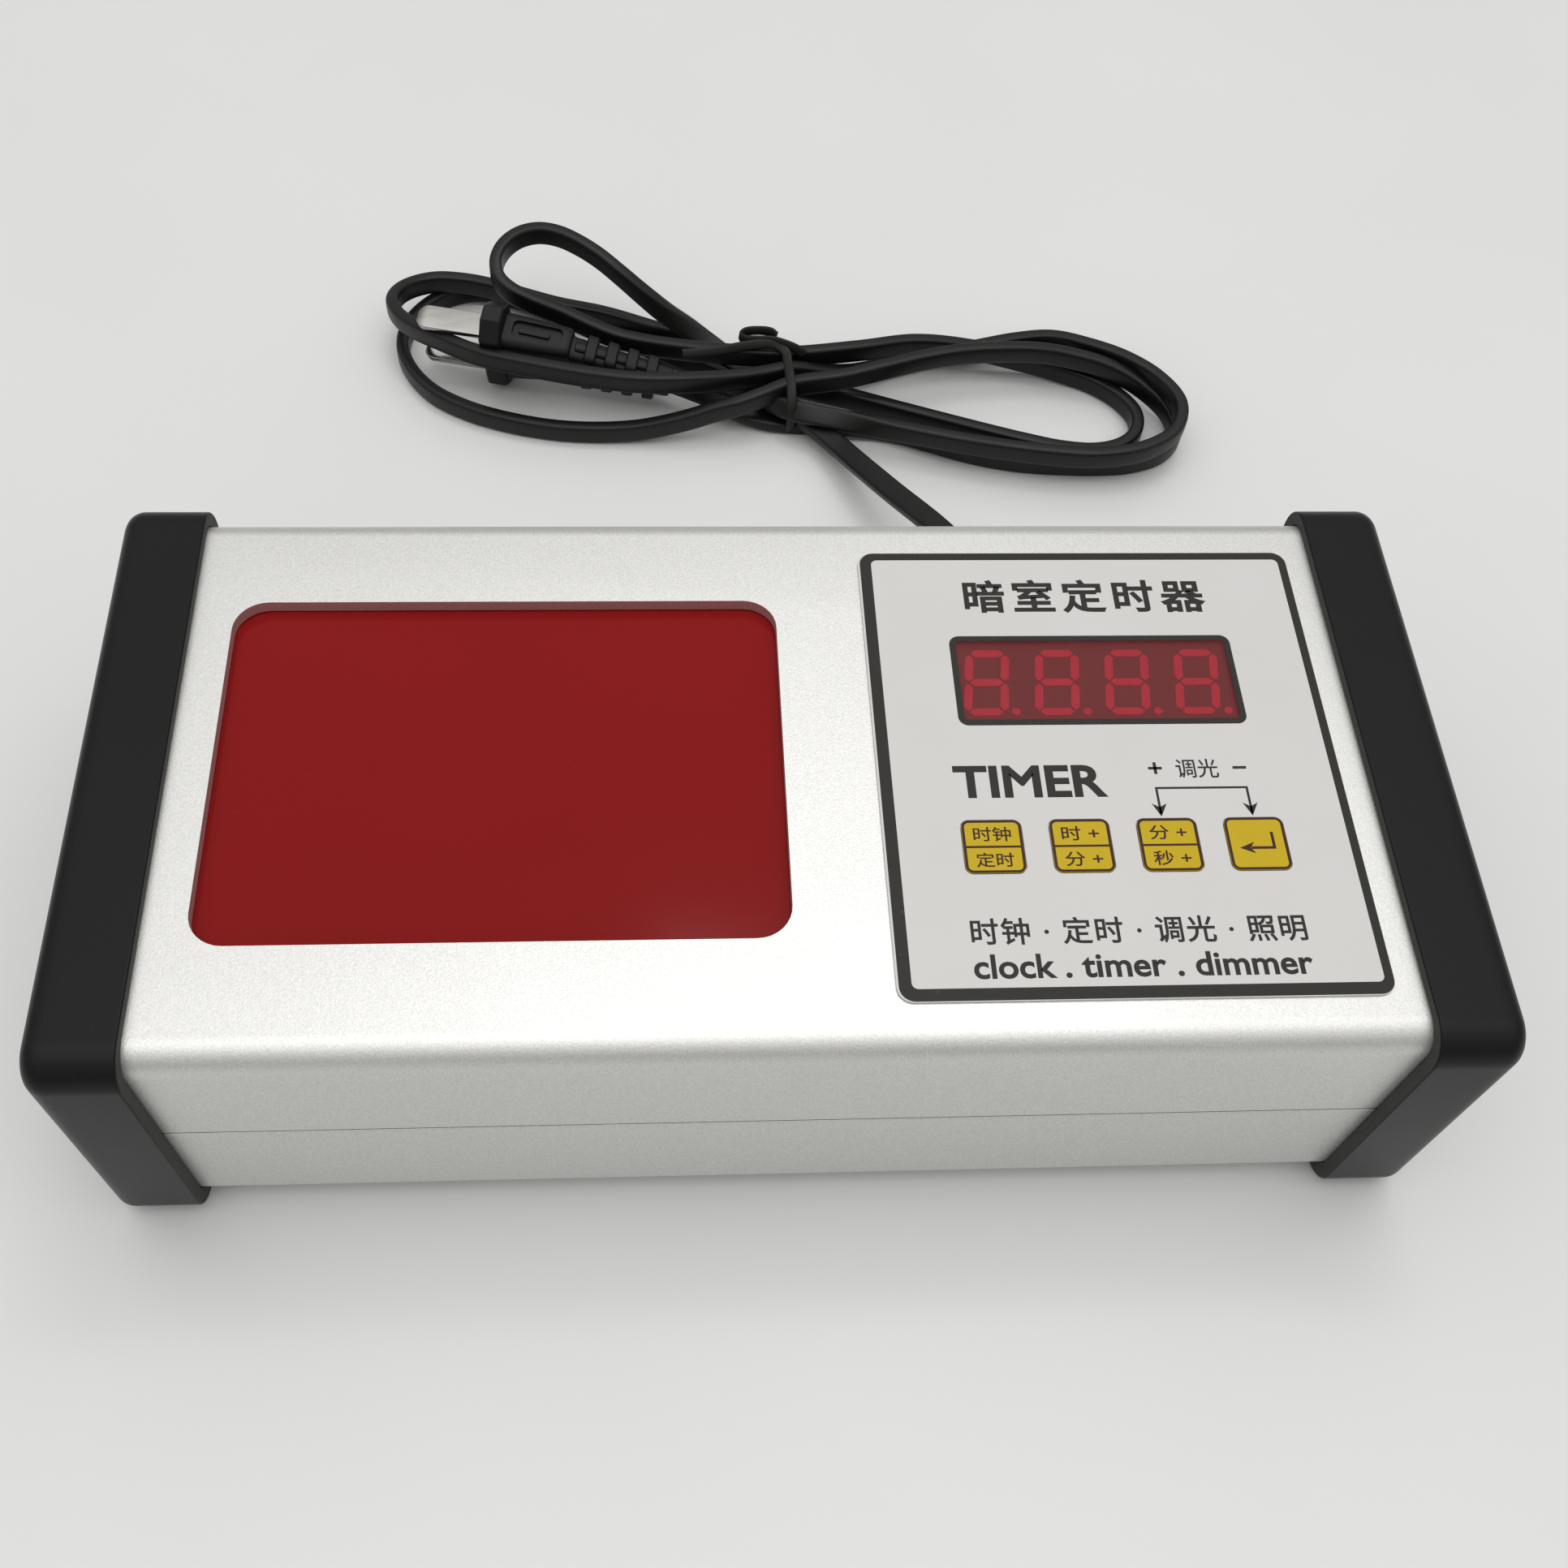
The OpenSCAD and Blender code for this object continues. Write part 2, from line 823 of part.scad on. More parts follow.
module plug_relief() {
    color("#151515") as_plug() translate([grip_end, 0, relief_drop]) rotate([0, relief_bend, 0]) {
        tapered(0.2, relief_length, 7, 11, 5, 7);
        for (x = [3, 8, 13, 18]) {
            tapered(x, x + 2.4, 8.4 - x / 10, 14 - x / 10, 8.2 - x / 10, 13.6 - x / 10);
        }
    }
}

top_shell();
bottom_shell();
end_cap_left();
end_cap_right();
cap_screws_left();
cap_screws_right();
safelight_pane();
pane_tape();
diffuser_sheet();
lamp_tray();
lamp_board();
lamps();
tray_standoffs();
tray_screws();
lamp_wires();
overlay_panel();
display_window();
display_module();
display_segments();
key_pad_1();
key_pad_2();
key_pad_3();
key_pad_4();
key_stem_1();
key_stem_2();
key_stem_3();
key_stem_4();
switch_housings();
control_board();
board_standoffs();
board_screws();
controller_chip();
display_driver();
clock_crystal();
cell_holder();
backup_cell();
buzzer();
ribbon_header();
ribbon_cable();
power_board();
power_standoffs();
power_screws();
transformer_core();
transformer_coil();
smoothing_capacitor();
regulator();
regulator_heatsink();
rectifier_diodes();
fuse();
fuse_clips();
mains_terminal();
mains_tails();
cord_boot();
cord_lead();
cord_hank();
twist_tie();
plug_body();
plug_blades();
plug_relief();
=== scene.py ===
import math

import bpy
import numpy as np
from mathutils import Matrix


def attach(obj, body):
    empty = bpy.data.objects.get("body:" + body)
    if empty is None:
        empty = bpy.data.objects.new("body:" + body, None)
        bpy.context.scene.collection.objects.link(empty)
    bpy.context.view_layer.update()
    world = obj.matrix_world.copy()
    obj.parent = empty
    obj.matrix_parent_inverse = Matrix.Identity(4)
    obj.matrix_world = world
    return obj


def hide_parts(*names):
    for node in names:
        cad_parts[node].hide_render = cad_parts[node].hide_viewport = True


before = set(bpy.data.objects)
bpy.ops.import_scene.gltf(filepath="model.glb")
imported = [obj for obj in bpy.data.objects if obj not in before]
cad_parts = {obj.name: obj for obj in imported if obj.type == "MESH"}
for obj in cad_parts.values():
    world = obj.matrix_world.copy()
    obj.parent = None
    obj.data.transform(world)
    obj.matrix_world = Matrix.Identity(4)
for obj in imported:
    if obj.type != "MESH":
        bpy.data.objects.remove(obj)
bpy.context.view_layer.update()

# ---- Camera ----
# A normal lens held above and in front of the timer, tipped down at its panel.
camera_data = bpy.data.cameras.new("camera")
camera_data.sensor_width = 36
camera_data.lens = 38.767
camera_data.shift_x = 0.02275
camera_data.shift_y = 0.00966
camera_data.clip_start = 0.01
camera = bpy.data.objects.new("camera", camera_data)
camera.location = (-0.020973, -0.157458, 0.305227)
camera.rotation_euler = [math.radians(a) for a in (31.6155, -2.41664, -2.16236)]
bpy.context.scene.collection.objects.link(camera)
bpy.context.scene.camera = camera

# ---- Cord ----
# Flat twin mains cord, two cores in a black PVC sheath 5.2 by 3.2 mm, moulded to its plug. It leaves the
# boot behind the case, winds three times through its tie and lies on edge in the loops.
MM = 0.001
cord_width = 5.2
cord_thick = 3.2

# Each row is a point of the cord's middle and how far the flat side is turned up: 0 lying flat, 90 on edge.
cord_lead = [
    (48, 58, 18, 0), (48, 67, 18, 0), (48, 77, 18, 0), (47.5, 81, 17.8, 0), (45.9, 86, 17.2, 5),
    (43, 91.5, 16, 10), (39.5, 97.5, 14.3, 15), (35.5, 104.2, 12.3, 20), (31.5, 111.3, 10.2, 20),
    (28, 118, 8, 20), (24.5, 124.9, 5.7, 10), (20.5, 130.6, 4.9, 0), (17, 135.2, 4.5, 0),
]
cord_first_turn = [
    (12, 141, 4.4, 0), (6, 147.4, 4.4, 0), (0, 154, 4.6, 10), (-5.5, 158.8, 6, 30), (-11, 162, 8.6, 50),
    (-17, 164.2, 11.8, 70), (-22.5, 166.6, 15.4, 85), (-28, 169.6, 18.8, 90), (-33, 173, 21, 90),
    (-38, 176, 22.4, 90), (-43, 178.2, 23.3, 90), (-48, 178.9, 23.6, 90), (-52.8, 177.6, 23.2, 90),
    (-56.4, 174.4, 22.3, 90), (-58, 170.2, 21.2, 90), (-57.3, 166.2, 20, 90), (-54.6, 163.3, 19, 90),
    (-50, 161.2, 17.8, 90), (-42, 159, 15.6, 90), (-35, 156.6, 13.6, 90), (-28, 154.4, 12.2, 90),
    (-14, 152.2, 11.2, 90), (0, 151, 10.7, 90), (13, 150.6, 10.5, 90), (30, 152.8, 10.4, 90),
    (45, 156.2, 9.4, 90), (60, 157, 6.8, 90), (72, 155.6, 4.6, 90), (82, 153.2, 3.2, 90),
    (90, 149.6, 2.8, 90), (96, 144.2, 2.7, 90), (98.9, 138.2, 2.7, 90), (98, 132.6, 2.7, 90),
    (94, 128.4, 2.7, 90), (87.4, 126.4, 2.7, 90), (79, 127.1, 2.7, 90), (70, 129.6, 2.7, 90),
    (59, 133.3, 2.7, 90), (48, 137.2, 2.7, 90), (37, 141.2, 2.7, 90), (26, 145.2, 2.7, 80),
    (19, 148, 2.4, 45), (13, 150.6, 2, 20), (7, 153.8, 1.8, 10), (1, 157.8, 1.8, 10),
    (-6, 161.8, 1.9, 20), (-14, 164.9, 2.6, 60),
]
cord_second_turn = [
    (-21, 167, 3.8, 90), (-32, 169.3, 5.8, 90), (-44, 172, 6.4, 90), (-53, 175.2, 6.6, 90),
    (-61, 178, 7, 90), (-68, 179.4, 7.3, 90), (-74.4, 179.2, 7.8, 90), (-79.6, 176.8, 8.5, 90),
    (-83, 172.8, 9.6, 90), (-84.1, 167.4, 11, 90), (-82, 161.6, 12.2, 90), (-77.6, 156.6, 13.2, 90),
    (-72, 152, 14.4, 90), (-62, 145.6, 15.4, 90), (-48, 141.6, 15.2, 90), (-35, 139.2, 14.6, 90),
    (-24, 138, 14.2, 90), (-12, 138.8, 13.4, 90), (0, 141.4, 11.8, 90), (7, 143.6, 11, 90),
    (13, 145.6, 10.5, 90), (21, 147.6, 7.5, 90), (30, 150.8, 4.9, 90), (45, 156.6, 3.6, 90),
    (60, 160.4, 3.4, 90), (72, 161.2, 5.6, 90), (80, 160, 7.4, 90), (88, 156.2, 8.6, 90),
    (97, 150.6, 9.4, 90), (104.2, 143.4, 9.6, 90), (107.8, 135, 9.6, 90), (105.6, 127.2, 9.2, 90),
    (98, 121.8, 8.8, 90), (86, 119.6, 8.4, 90), (72, 121, 8.1, 90), (58, 123.8, 7.8, 90),
    (47, 126.4, 7.8, 90), (36, 129.2, 7.8, 80), (27, 131.4, 7.9, 50), (20, 133, 8, 30),
    (14, 135, 7.9, 50), (8, 139.2, 6.9, 80), (1.4, 145.2, 5.2, 85), (-4.6, 151.2, 3.9, 80),
    (-12.4, 157.2, 3, 60), (-24, 164.4, 2.1, 20),
]
cord_third_turn = [
    (-34, 169.8, 1.7, 0), (-44, 174.6, 1.7, 0), (-53, 179.4, 1.7, 0), (-61.6, 182.4, 1.9, 30),
    (-68, 181.8, 2.4, 65), (-73.5, 178.8, 2.6, 90), (-78.5, 173.6, 2.6, 90), (-81.7, 167, 2.6, 90),
    (-82, 159.6, 2.6, 90), (-79, 152, 2.6, 90), (-73.4, 145.2, 2.6, 90), (-66, 140.4, 2.6, 90),
    (-59, 137.4, 2.6, 90), (-50, 134.8, 2.6, 90), (-42, 133.4, 2.6, 90), (-33, 132.8, 2.8, 90),
    (-25, 132.8, 3.4, 90), (-18, 133, 4.8, 90), (-11, 133.6, 6.6, 90), (-5, 134.4, 8.4, 90),
    (0, 135, 9.5, 90), (6, 137.2, 10.2, 90), (13, 140.6, 10.4, 90), (26, 142.8, 10.8, 90),
    (36, 145.6, 11.2, 90), (46, 148.6, 11.4, 90), (56, 150.8, 11.4, 90), (66, 151.8, 11.2, 90),
    (75, 152.2, 10.6, 90), (83, 151.6, 9.6, 90), (93, 149, 8.2, 90), (101.6, 144.2, 6, 90),
    (107, 138, 4, 90), (107.6, 131.6, 2.9, 90), (103.6, 126.4, 2.6, 90), (95.8, 123.2, 2.6, 90),
    (87, 122.4, 2.6, 90), (78, 122.6, 2.6, 90), (69, 123.4, 2.6, 90), (61, 125, 2.6, 90),
    (54, 127.2, 2.6, 90), (47, 130, 2.6, 90), (40, 132.8, 2.6, 85), (33, 135, 2.3, 60),
    (26, 136.2, 1.8, 20), (20, 136.8, 1.6, 0), (14, 137, 1.6, 0), (7, 137.6, 2.2, 0),
    (0, 139.4, 3.9, 25), (-8, 142.3, 6.2, 60), (-14.5, 144.2, 7.5, 85), (-23, 146.1, 8.8, 90),
]


def smooth_line(points, step):
    """The curve that passes each point with the slope of its neighbours (cubic pieces whose spans are the
    square roots of the distances), sampled every step of its length. Extra columns are carried along."""
    points = np.asarray(points, float)
    gap = np.sqrt(np.linalg.norm(np.diff(points[:, :3], axis=0), axis=1))
    at = np.concatenate([[0], np.cumsum(gap)])
    slope = np.gradient(points, at, axis=0)
    fine = np.linspace(0, at[-1], 60 * len(points))
    i = np.clip(np.searchsorted(at, fine, side="right") - 1, 0, len(gap) - 1)
    t = ((fine - at[i]) / gap[i])[:, None]
    h = gap[i][:, None]
    curve = (
        (1 + 2 * t) * (1 - t) ** 2 * points[i] + t * (1 - t) ** 2 * h * slope[i]
        + t ** 2 * (3 - 2 * t) * points[i + 1] - t ** 2 * (1 - t) * h * slope[i + 1]
    )
    run = np.concatenate([[0], np.cumsum(np.linalg.norm(np.diff(curve[:, :3], axis=0), axis=1))])
    even = np.linspace(0, run[-1], int(round(run[-1] / step)) + 1)
    return np.stack([np.interp(even, run, curve[:, c]) for c in range(curve.shape[1])], axis=1)


def skin(name, rings, closed=False, crease=35):
    """A piece whose surface runs through rings of points in mm: each ring is joined to the next, and round
    itself. The first and last rings are filled, or joined to each other when closed. Faces point outwards."""
    rings = np.asarray(rings, float)
    count, around = rings.shape[:2]
    row = np.arange(count if closed else count - 1)[:, None]
    col = np.arange(around)[None, :]
    row, col = np.broadcast_arrays(row, col)
    nxt, beside = (row + 1) % count, (col + 1) % around
    quads = np.stack([row * around + col, row * around + beside, nxt * around + beside, nxt * around + col], -1)
    faces = quads.reshape(-1, 4).tolist()
    if not closed:
        faces += [np.arange(around)[::-1].tolist(), ((count - 1) * around + np.arange(around)).tolist()]
    mesh = bpy.data.meshes.new(name)
    mesh.from_pydata((rings.reshape(-1, 3) * MM).tolist(), [], faces)
    return piece_of(name, mesh, crease)


def piece_of(name, mesh, crease=35):
    """Puts a mesh in the scene as a piece, facing outwards, smooth but for edges sharper than crease."""
    mesh.update()
    mesh.calc_loop_triangles()
    corner = np.empty(len(mesh.vertices) * 3)
    mesh.vertices.foreach_get("co", corner)
    tri = np.empty(len(mesh.loop_triangles) * 3, int)
    mesh.loop_triangles.foreach_get("vertices", tri)
    a, b, c = corner.reshape(-1, 3)[tri.reshape(-1, 3)].transpose(1, 0, 2)
    if np.einsum("ij,ij->", a, np.cross(b, c)) < 0:
        mesh.flip_normals()
    mesh.polygons.foreach_set("use_smooth", np.ones(len(mesh.polygons), bool))
    mesh.set_sharp_from_angle(angle=math.radians(crease))
    piece = bpy.data.objects.new(name, mesh)
    bpy.context.scene.collection.objects.link(piece)
    return piece


class Signal:
    """A value in a material. Sums, products and powers of signals add their Math nodes by themselves."""

    def __init__(self, tree, socket):
        self.tree = tree
        self.socket = socket

    def node(self, kind, settings=None, sockets=None, output=0):
        """Adds a node: its settings first (stops fill a ramp), then the values or links of its sockets."""
        new = self.tree.nodes.new("ShaderNode" + kind)
        for key, value in (settings or {}).items():
            if key == "stops":
                ramp = new.color_ramp
                for index, (where, colour) in enumerate(value):
                    spot = ramp.elements[index] if index < 2 else ramp.elements.new(where)
                    spot.position = where
                    spot.color = tuple(colour) + (1,)
            else:
                setattr(new, key, value)
        for key, value in (sockets or {}).items():
            if isinstance(value, Signal):
                self.tree.links.new(value.socket, new.inputs[key])
            elif isinstance(value, tuple) and len(value) == 3 and len(new.inputs[key].default_value) == 4:
                new.inputs[key].default_value = value + (1,)
            else:
                new.inputs[key].default_value = value
        return Signal(self.tree, new.outputs[output])

    def maths(self, operation, first, second, clamp=False):
        """One Math node on two values or signals."""
        return self.node("Math", {"operation": operation, "use_clamp": clamp}, {0: first, 1: second})

    def __add__(self, other):
        return self.maths("ADD", self, other)

    def __sub__(self, other):
        return self.maths("SUBTRACT", self, other)

    def __mul__(self, other):
        return self.maths("MULTIPLY", self, other)

    def __rsub__(self, other):
        return self.maths("SUBTRACT", other, self)

    def __abs__(self):
        return self.maths("ABSOLUTE", self, 0.0)

    def __gt__(self, other):
        return self.maths("GREATER_THAN", self, other)

    __radd__ = __add__
    __rmul__ = __mul__

    def noise(self, size, detail=2.0, stretch=(1, 1, 1)):
        """Cloudy noise whose blobs are about size mm across; self is a position. 0.5 on average."""
        spread = self.node("Mapping", None, {"Vector": self, "Scale": stretch})
        return self.node("TexNoise", None, {"Vector": spread, "Scale": 1 / (size * MM), "Detail": detail})

    def between(self, low, high):
        """A colour or number that goes from low at 0 to high at 1."""
        if isinstance(low, tuple) or isinstance(low, Signal):
            mix = {"data_type": "RGBA", "clamp_factor": True}
            return self.node("Mix", mix, {0: self, 6: low, 7: high}, output=2)
        return self * (high - low) + low

    def above(self, level, gain):
        """How far the value rises above a level, times a gain; nothing where it is below."""
        return self.maths("SUBTRACT", self, level, clamp=True) * gain

    def axis(self, which):
        """One coordinate, in metres, of a position."""
        return self.node("SeparateXYZ", None, {0: self}, output="XYZ".index(which))


class Finish:
    """A material made round one Principled shader. place is the position on the object, in metres."""

    def __init__(self, name, **fixed):
        self.material = bpy.data.materials.new(name)
        self.material.use_nodes = True
        tree = self.material.node_tree
        self.shader = tree.nodes["Principled BSDF"]
        self.place = Signal(tree, tree.nodes.new("ShaderNodeTexCoord").outputs["Object"])
        for key, value in fixed.items():
            socket = self.shader.inputs[key.replace("_", " ").title().replace("Ior", "IOR")]
            socket.default_value = value

    def vary(self, **signals):
        """Feeds the shader's sockets with signals, or gives them a plain value."""
        for key, value in signals.items():
            socket = self.shader.inputs[key.replace("_", " ").title()]
            if isinstance(value, Signal):
                value.tree.links.new(value.socket, socket)
            else:
                socket.default_value = value if not isinstance(value, tuple) else value + (1,)

    def relief(self, height, depth):
        """Bumps of a height signal from 0 to 1, depth mm deep."""
        bump = self.place.node("Bump", None, {"Strength": 1.0, "Distance": depth * MM, "Height": height})
        self.vary(normal=bump)

    def coat_on(self, *pieces):
        """Makes this the only material of the pieces."""
        for piece in pieces:
            piece.data.materials.clear()
            piece.data.materials.append(self.material)


def dress(finish, slot, *pieces, body="case"):
    """Gives pieces their finish, and lets them ride on a body. The slot is not used."""
    finish.coat_on(*pieces)
    for piece in pieces:
        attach(piece, body)


def plastic(name, colour, rough=0.4, mottle=0.12, grain=0.4, depth=0.012, patch=14, **fixed):
    """Moulded plastic: the colour clouded a little in patches, and a fine grain of the mould's surface."""
    finish = Finish(name, **fixed)
    cloud = finish.place.noise(patch, 3)
    fine = finish.place.noise(grain, 2)
    low = tuple(c * (1 - mottle) for c in colour)
    high = tuple(min(1, c * (1 + mottle)) for c in colour)
    finish.vary(base_color=cloud.between(low, high), roughness=cloud.between(rough - 0.05, rough + 0.06))
    finish.relief(fine, depth)
    return finish


def flat_side(tilt_deg, direction):
    """The cord's broad axis and its thin axis at each ring, turned about the cord's own direction."""
    flat = np.cross(direction, (0, 0, 1.0))
    flat /= np.linalg.norm(flat, axis=1)[:, None]
    up = np.cross(flat, direction)
    turn = np.radians(tilt_deg)[:, None]
    return np.cos(turn) * flat + np.sin(turn) * up, np.cos(turn) * up - np.sin(turn) * flat


def soft_square(half_wide, half_thick, around, power=4.4):
    """A rounded-off rectangle: cosine and sine, each raised to 2/power with its sign kept."""
    angle = np.linspace(0, 2 * np.pi, around, endpoint=False)
    c, s = np.cos(angle), np.sin(angle)
    return half_wide * np.sign(c) * abs(c) ** (2 / power), half_thick * np.sign(s) * abs(s) ** (2 / power)


cord_path = smooth_line(cord_lead + cord_first_turn + cord_second_turn + cord_third_turn, 1.1)
cord_way = np.gradient(cord_path[:, :3], axis=0)
cord_way /= np.linalg.norm(cord_way, axis=1)[:, None]
broad, thin = flat_side(cord_path[:, 3], cord_way)
across, through = soft_square(cord_width / 2, cord_thick / 2, 24)
cord_rings = (
    cord_path[:, None, :3] + across[None, :, None] * broad[:, None, :] + through[None, :, None] * thin[:, None, :]
)
cord_rings[:, :, 2] = np.maximum(cord_rings[:, :, 2], 0.05)
cord = skin("cord", cord_rings, crease=60)
pvc = plastic("cord_pvc", (0.0045, 0.0045, 0.0042), rough=0.4, grain=0.7, depth=0.02, patch=25,
              specular_ior_level=0.3)
dress(pvc, "cord_pvc", cord)
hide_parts("cord_lead", "cord_hank")


# ---- Cord boot ----
# Ribbed strain relief of soft PVC, pushed through the back wall; it tapers along the cord.
def turned(name, outline, base, direction=(0, 1, 0), around=48, crease=35):
    """A turned piece: an outline of (distance along, radius) pairs carried round the line from base."""
    outline = np.asarray(outline, float)
    direction = np.asarray(direction, float)
    side = np.cross(direction, (0.0, 0.0, 1.0) if abs(direction[2]) < 0.9 else (1.0, 0.0, 0.0))
    side /= np.linalg.norm(side)
    other = np.cross(direction, side)
    angle = np.linspace(0, 2 * np.pi, around, endpoint=False)[None, :, None]
    spoke = np.cos(angle) * side + np.sin(angle) * other
    rings = np.asarray(base, float) + outline[:, 0, None, None] * direction + outline[:, 1, None, None] * spoke
    return skin(name, rings, crease=crease)


boot_start = 54.75
boot_outline = [(0, 6.3), (0.15, 6.6), (0.5, 6.8), (1.7, 6.8), (2.05, 6.65), (2.2, 6.3), (2.3, 5.1)]
for rib in range(6):
    y = 2.5 + rib * 3.05
    big = 4.95 - 0.235 * rib
    boot_outline += [(y, big - 0.7), (y + 0.7, big - 0.72), (y + 0.9, big - 0.1), (y + 1.1, big)]
    boot_outline += [(y + 2.6, big - 0.12), (y + 2.85, big - 0.25), (y + 3.0, big - 0.75)]
boot_outline += [(20.9, 2.9), (21.6, 3.4), (22.1, 3.3), (22.25, 3.0), (22.2, 1.2)]
boot = turned("cord_boot_ribbed", boot_outline, (48, boot_start, 18))
soft_pvc = plastic("soft_pvc", (0.0042, 0.0042, 0.004), rough=0.45, grain=0.5, depth=0.02,
                   specular_ior_level=0.25)
dress(soft_pvc, "cord_pvc", boot)
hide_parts("cord_boot")

# ---- Wire tie ----
# A plastic-coated flat wire, wrapped once round the hank, twisted, with one end left over and curled.
tie_wide, tie_thick = 2.4, 0.9
tie_loop = [
    (12.4, 150.4, 13.5), (13.2, 152.3, 11.2), (13.3, 152.8, 6.5), (13.1, 151.6, 1.7), (13, 147, 0.95),
    (13, 140, 0.95), (13, 135.2, 1.4), (13, 133.7, 5), (13, 134.1, 9.2), (12.9, 137.6, 12.4),
    (12.6, 142, 13.3), (12.3, 146, 13.5), (12, 148.6, 13.9), (10.2, 150, 14.6), (7.4, 150.4, 14.9),
    (3, 150.2, 14.5), (-2.6, 149.6, 13.7), (-8, 149.2, 13.1), (-13, 149, 12.7),
]
tie_curl = [
    (16.6, 149.2, 12.6), (14.6, 149.5, 14.1), (12.2, 150, 15), (9, 150.9, 15.4), (5.4, 151.3, 15.2),
    (2.3, 151.9, 14.8), (1.1, 153.2, 14.7), (2.3, 154.5, 14.8), (5.3, 154.9, 14.9), (8.6, 154.3, 15),
    (9.8, 153.1, 14.9),
]


def ribbon(name, points, wide, thick, lay, around=16, step=0.5):
    """A flat wire along a curve: its broad side stays as near as it can to the direction lay."""
    line = smooth_line(points, step)
    way = np.gradient(line, axis=0)
    way /= np.linalg.norm(way, axis=1)[:, None]
    flat = np.asarray(lay, float) - way * (way @ np.asarray(lay, float))[:, None]
    flat /= np.linalg.norm(flat, axis=1)[:, None]
    rise = np.cross(flat, way)
    u, v = soft_square(wide / 2, thick / 2, around, 2.6)
    rings = line[:, None] + u[None, :, None] * flat[:, None] + v[None, :, None] * rise[:, None]
    return skin(name, rings, crease=60)


tie_band = ribbon("wire_tie_band", tie_loop, tie_wide, tie_thick, (1, 0.25, 0.35))
tie_end = ribbon("wire_tie_end", tie_curl, 2.3, tie_thick, (0.1, 0.35, 1))
tie_coat = plastic("tie_coat", (0.006, 0.006, 0.0055), rough=0.5, grain=0.35, depth=0.015,
                   specular_ior_level=0.3)
dress(tie_coat, "tie_coating", tie_band, tie_end)
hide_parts("twist_tie")

# ---- Plug ----
# Moulded two-pin plug standing on its narrow edge: a bevelled flange, a tapered grip with a sunk panel on
# each narrow side, a segmented relief, and two flat plated blades.
plug_at = np.array([-60, 153, 12.45])
plug_turn, plug_lean = math.radians(-12), math.radians(12)
turn_z = np.array([
    [math.cos(plug_turn), -math.sin(plug_turn), 0], [math.sin(plug_turn), math.cos(plug_turn), 0], [0, 0, 1],
])
lean_x = np.array([
    [1, 0, 0], [0, math.cos(plug_lean), -math.sin(plug_lean)], [0, math.sin(plug_lean), math.cos(plug_lean)],
])


def in_plug(points):
    """Points of the plug, its length along +X from the flange's face, put where the plug lies."""
    return np.asarray(points, float) @ (turn_z @ lean_x).T + plug_at


def bar_ring(x, deep, tall, corner, y=0.0, z=0.0, arc=7):
    """A rounded rectangle across the X axis: four quarter circles of the corner's radius, in order."""
    angle = np.concatenate([np.linspace(q, q + np.pi / 2, arc) for q in np.arange(4) * np.pi / 2])
    sign_y = np.repeat([1, -1, -1, 1], arc)
    sign_z = np.repeat([1, 1, -1, -1], arc)
    ring_y = y + sign_y * (deep / 2 - corner) + corner * np.cos(angle)
    ring_z = z + sign_z * (tall / 2 - corner) + corner * np.sin(angle)
    return np.stack([np.full(len(angle), float(x)), ring_y, ring_z], axis=1)


def carve(piece, *cutters):
    """Cuts the cutters' forms out of a piece for good, and throws the cutters away."""
    for cutter in cutters:
        cut = piece.modifiers.new("cut", "BOOLEAN")
        cut.operation = "DIFFERENCE"
        cut.solver = "EXACT"
        cut.object = cutter
        bpy.context.view_layer.update()
        seen = piece.evaluated_get(bpy.context.evaluated_depsgraph_get())
        done = bpy.data.meshes.new_from_object(seen)
        piece.modifiers.clear()
        old, piece.data = piece.data, done
        bpy.data.meshes.remove(old)
        bpy.data.objects.remove(cutter)


def ease(piece, width, segments=2, angle=30):
    """Rounds a piece's sharp edges to a radius in mm, with smooth shading carried over them."""
    mesh = piece.data
    mesh.polygons.foreach_set("use_smooth", np.ones(len(mesh.polygons), bool))
    bevel = piece.modifiers.new("eased_edges", "BEVEL")
    bevel.width = width * MM
    bevel.segments = segments
    bevel.limit_method = "ANGLE"
    bevel.angle_limit = math.radians(angle)
    bevel.harden_normals = True
    bevel.use_clamp_overlap = True
    return piece


def flange_ring(x, inset):
    """The flange's eight-sided outline, corners cut off, drawn in by inset."""
    tall, deep = 12.3 - inset, 6 - inset
    y = np.array([-2, 2, deep, deep, 2, -2, -deep, -deep])
    z = np.array([-tall, -tall, -8.5, 8.5, tall, tall, 8.5, -8.5])
    return np.stack([np.full(8, float(x)), y, z], axis=1)


flange = skin("plug_flange", in_plug([flange_ring(0, 0.5), flange_ring(0.5, 0), flange_ring(4.6, 0),
                                      flange_ring(5.1, 0.6)]), crease=25)
ease(flange, 0.35)
grip_rings = [bar_ring(4.9, 10, 16.2, 2.4), bar_ring(5.6, 9.9, 15.9, 2.4), bar_ring(11, 9.5, 14.8, 2.4),
              bar_ring(16, 8.9, 13.8, 2.3), bar_ring(20.2, 8.3, 13, 2.2), bar_ring(21, 7.4, 12.2, 2.0)]
grip = skin("plug_grip", in_plug(grip_rings), crease=35)
for side in (1, -1):
    panel = bar_ring(0, 12, 4.6, 1.4, y=13)[:, [1, 2, 0]]
    well = np.stack([panel, panel])
    well[..., 2] = side * (8.0 - (well[..., 0] - 5) * 0.1 + np.array([-0.9, 4])[:, None])
    carve(grip, skin("panel_cut", in_plug(well)))
    mark = bar_ring(0, 7.5, 1.6, 0.5, y=12.2)[:, [1, 2, 0]]
    rib = np.stack([mark, mark])
    rib[..., 2] = side * (8.0 - (rib[..., 0] - 5) * 0.1 + np.array([-1.6, -0.3])[:, None])
    rib_piece = skin("plug_grip_rib_" + ("upper" if side > 0 else "lower"), in_plug(rib))
    ease(rib_piece, 0.15)
    dress(soft_pvc, "cord_pvc", rib_piece)
ease(grip, 0.2)

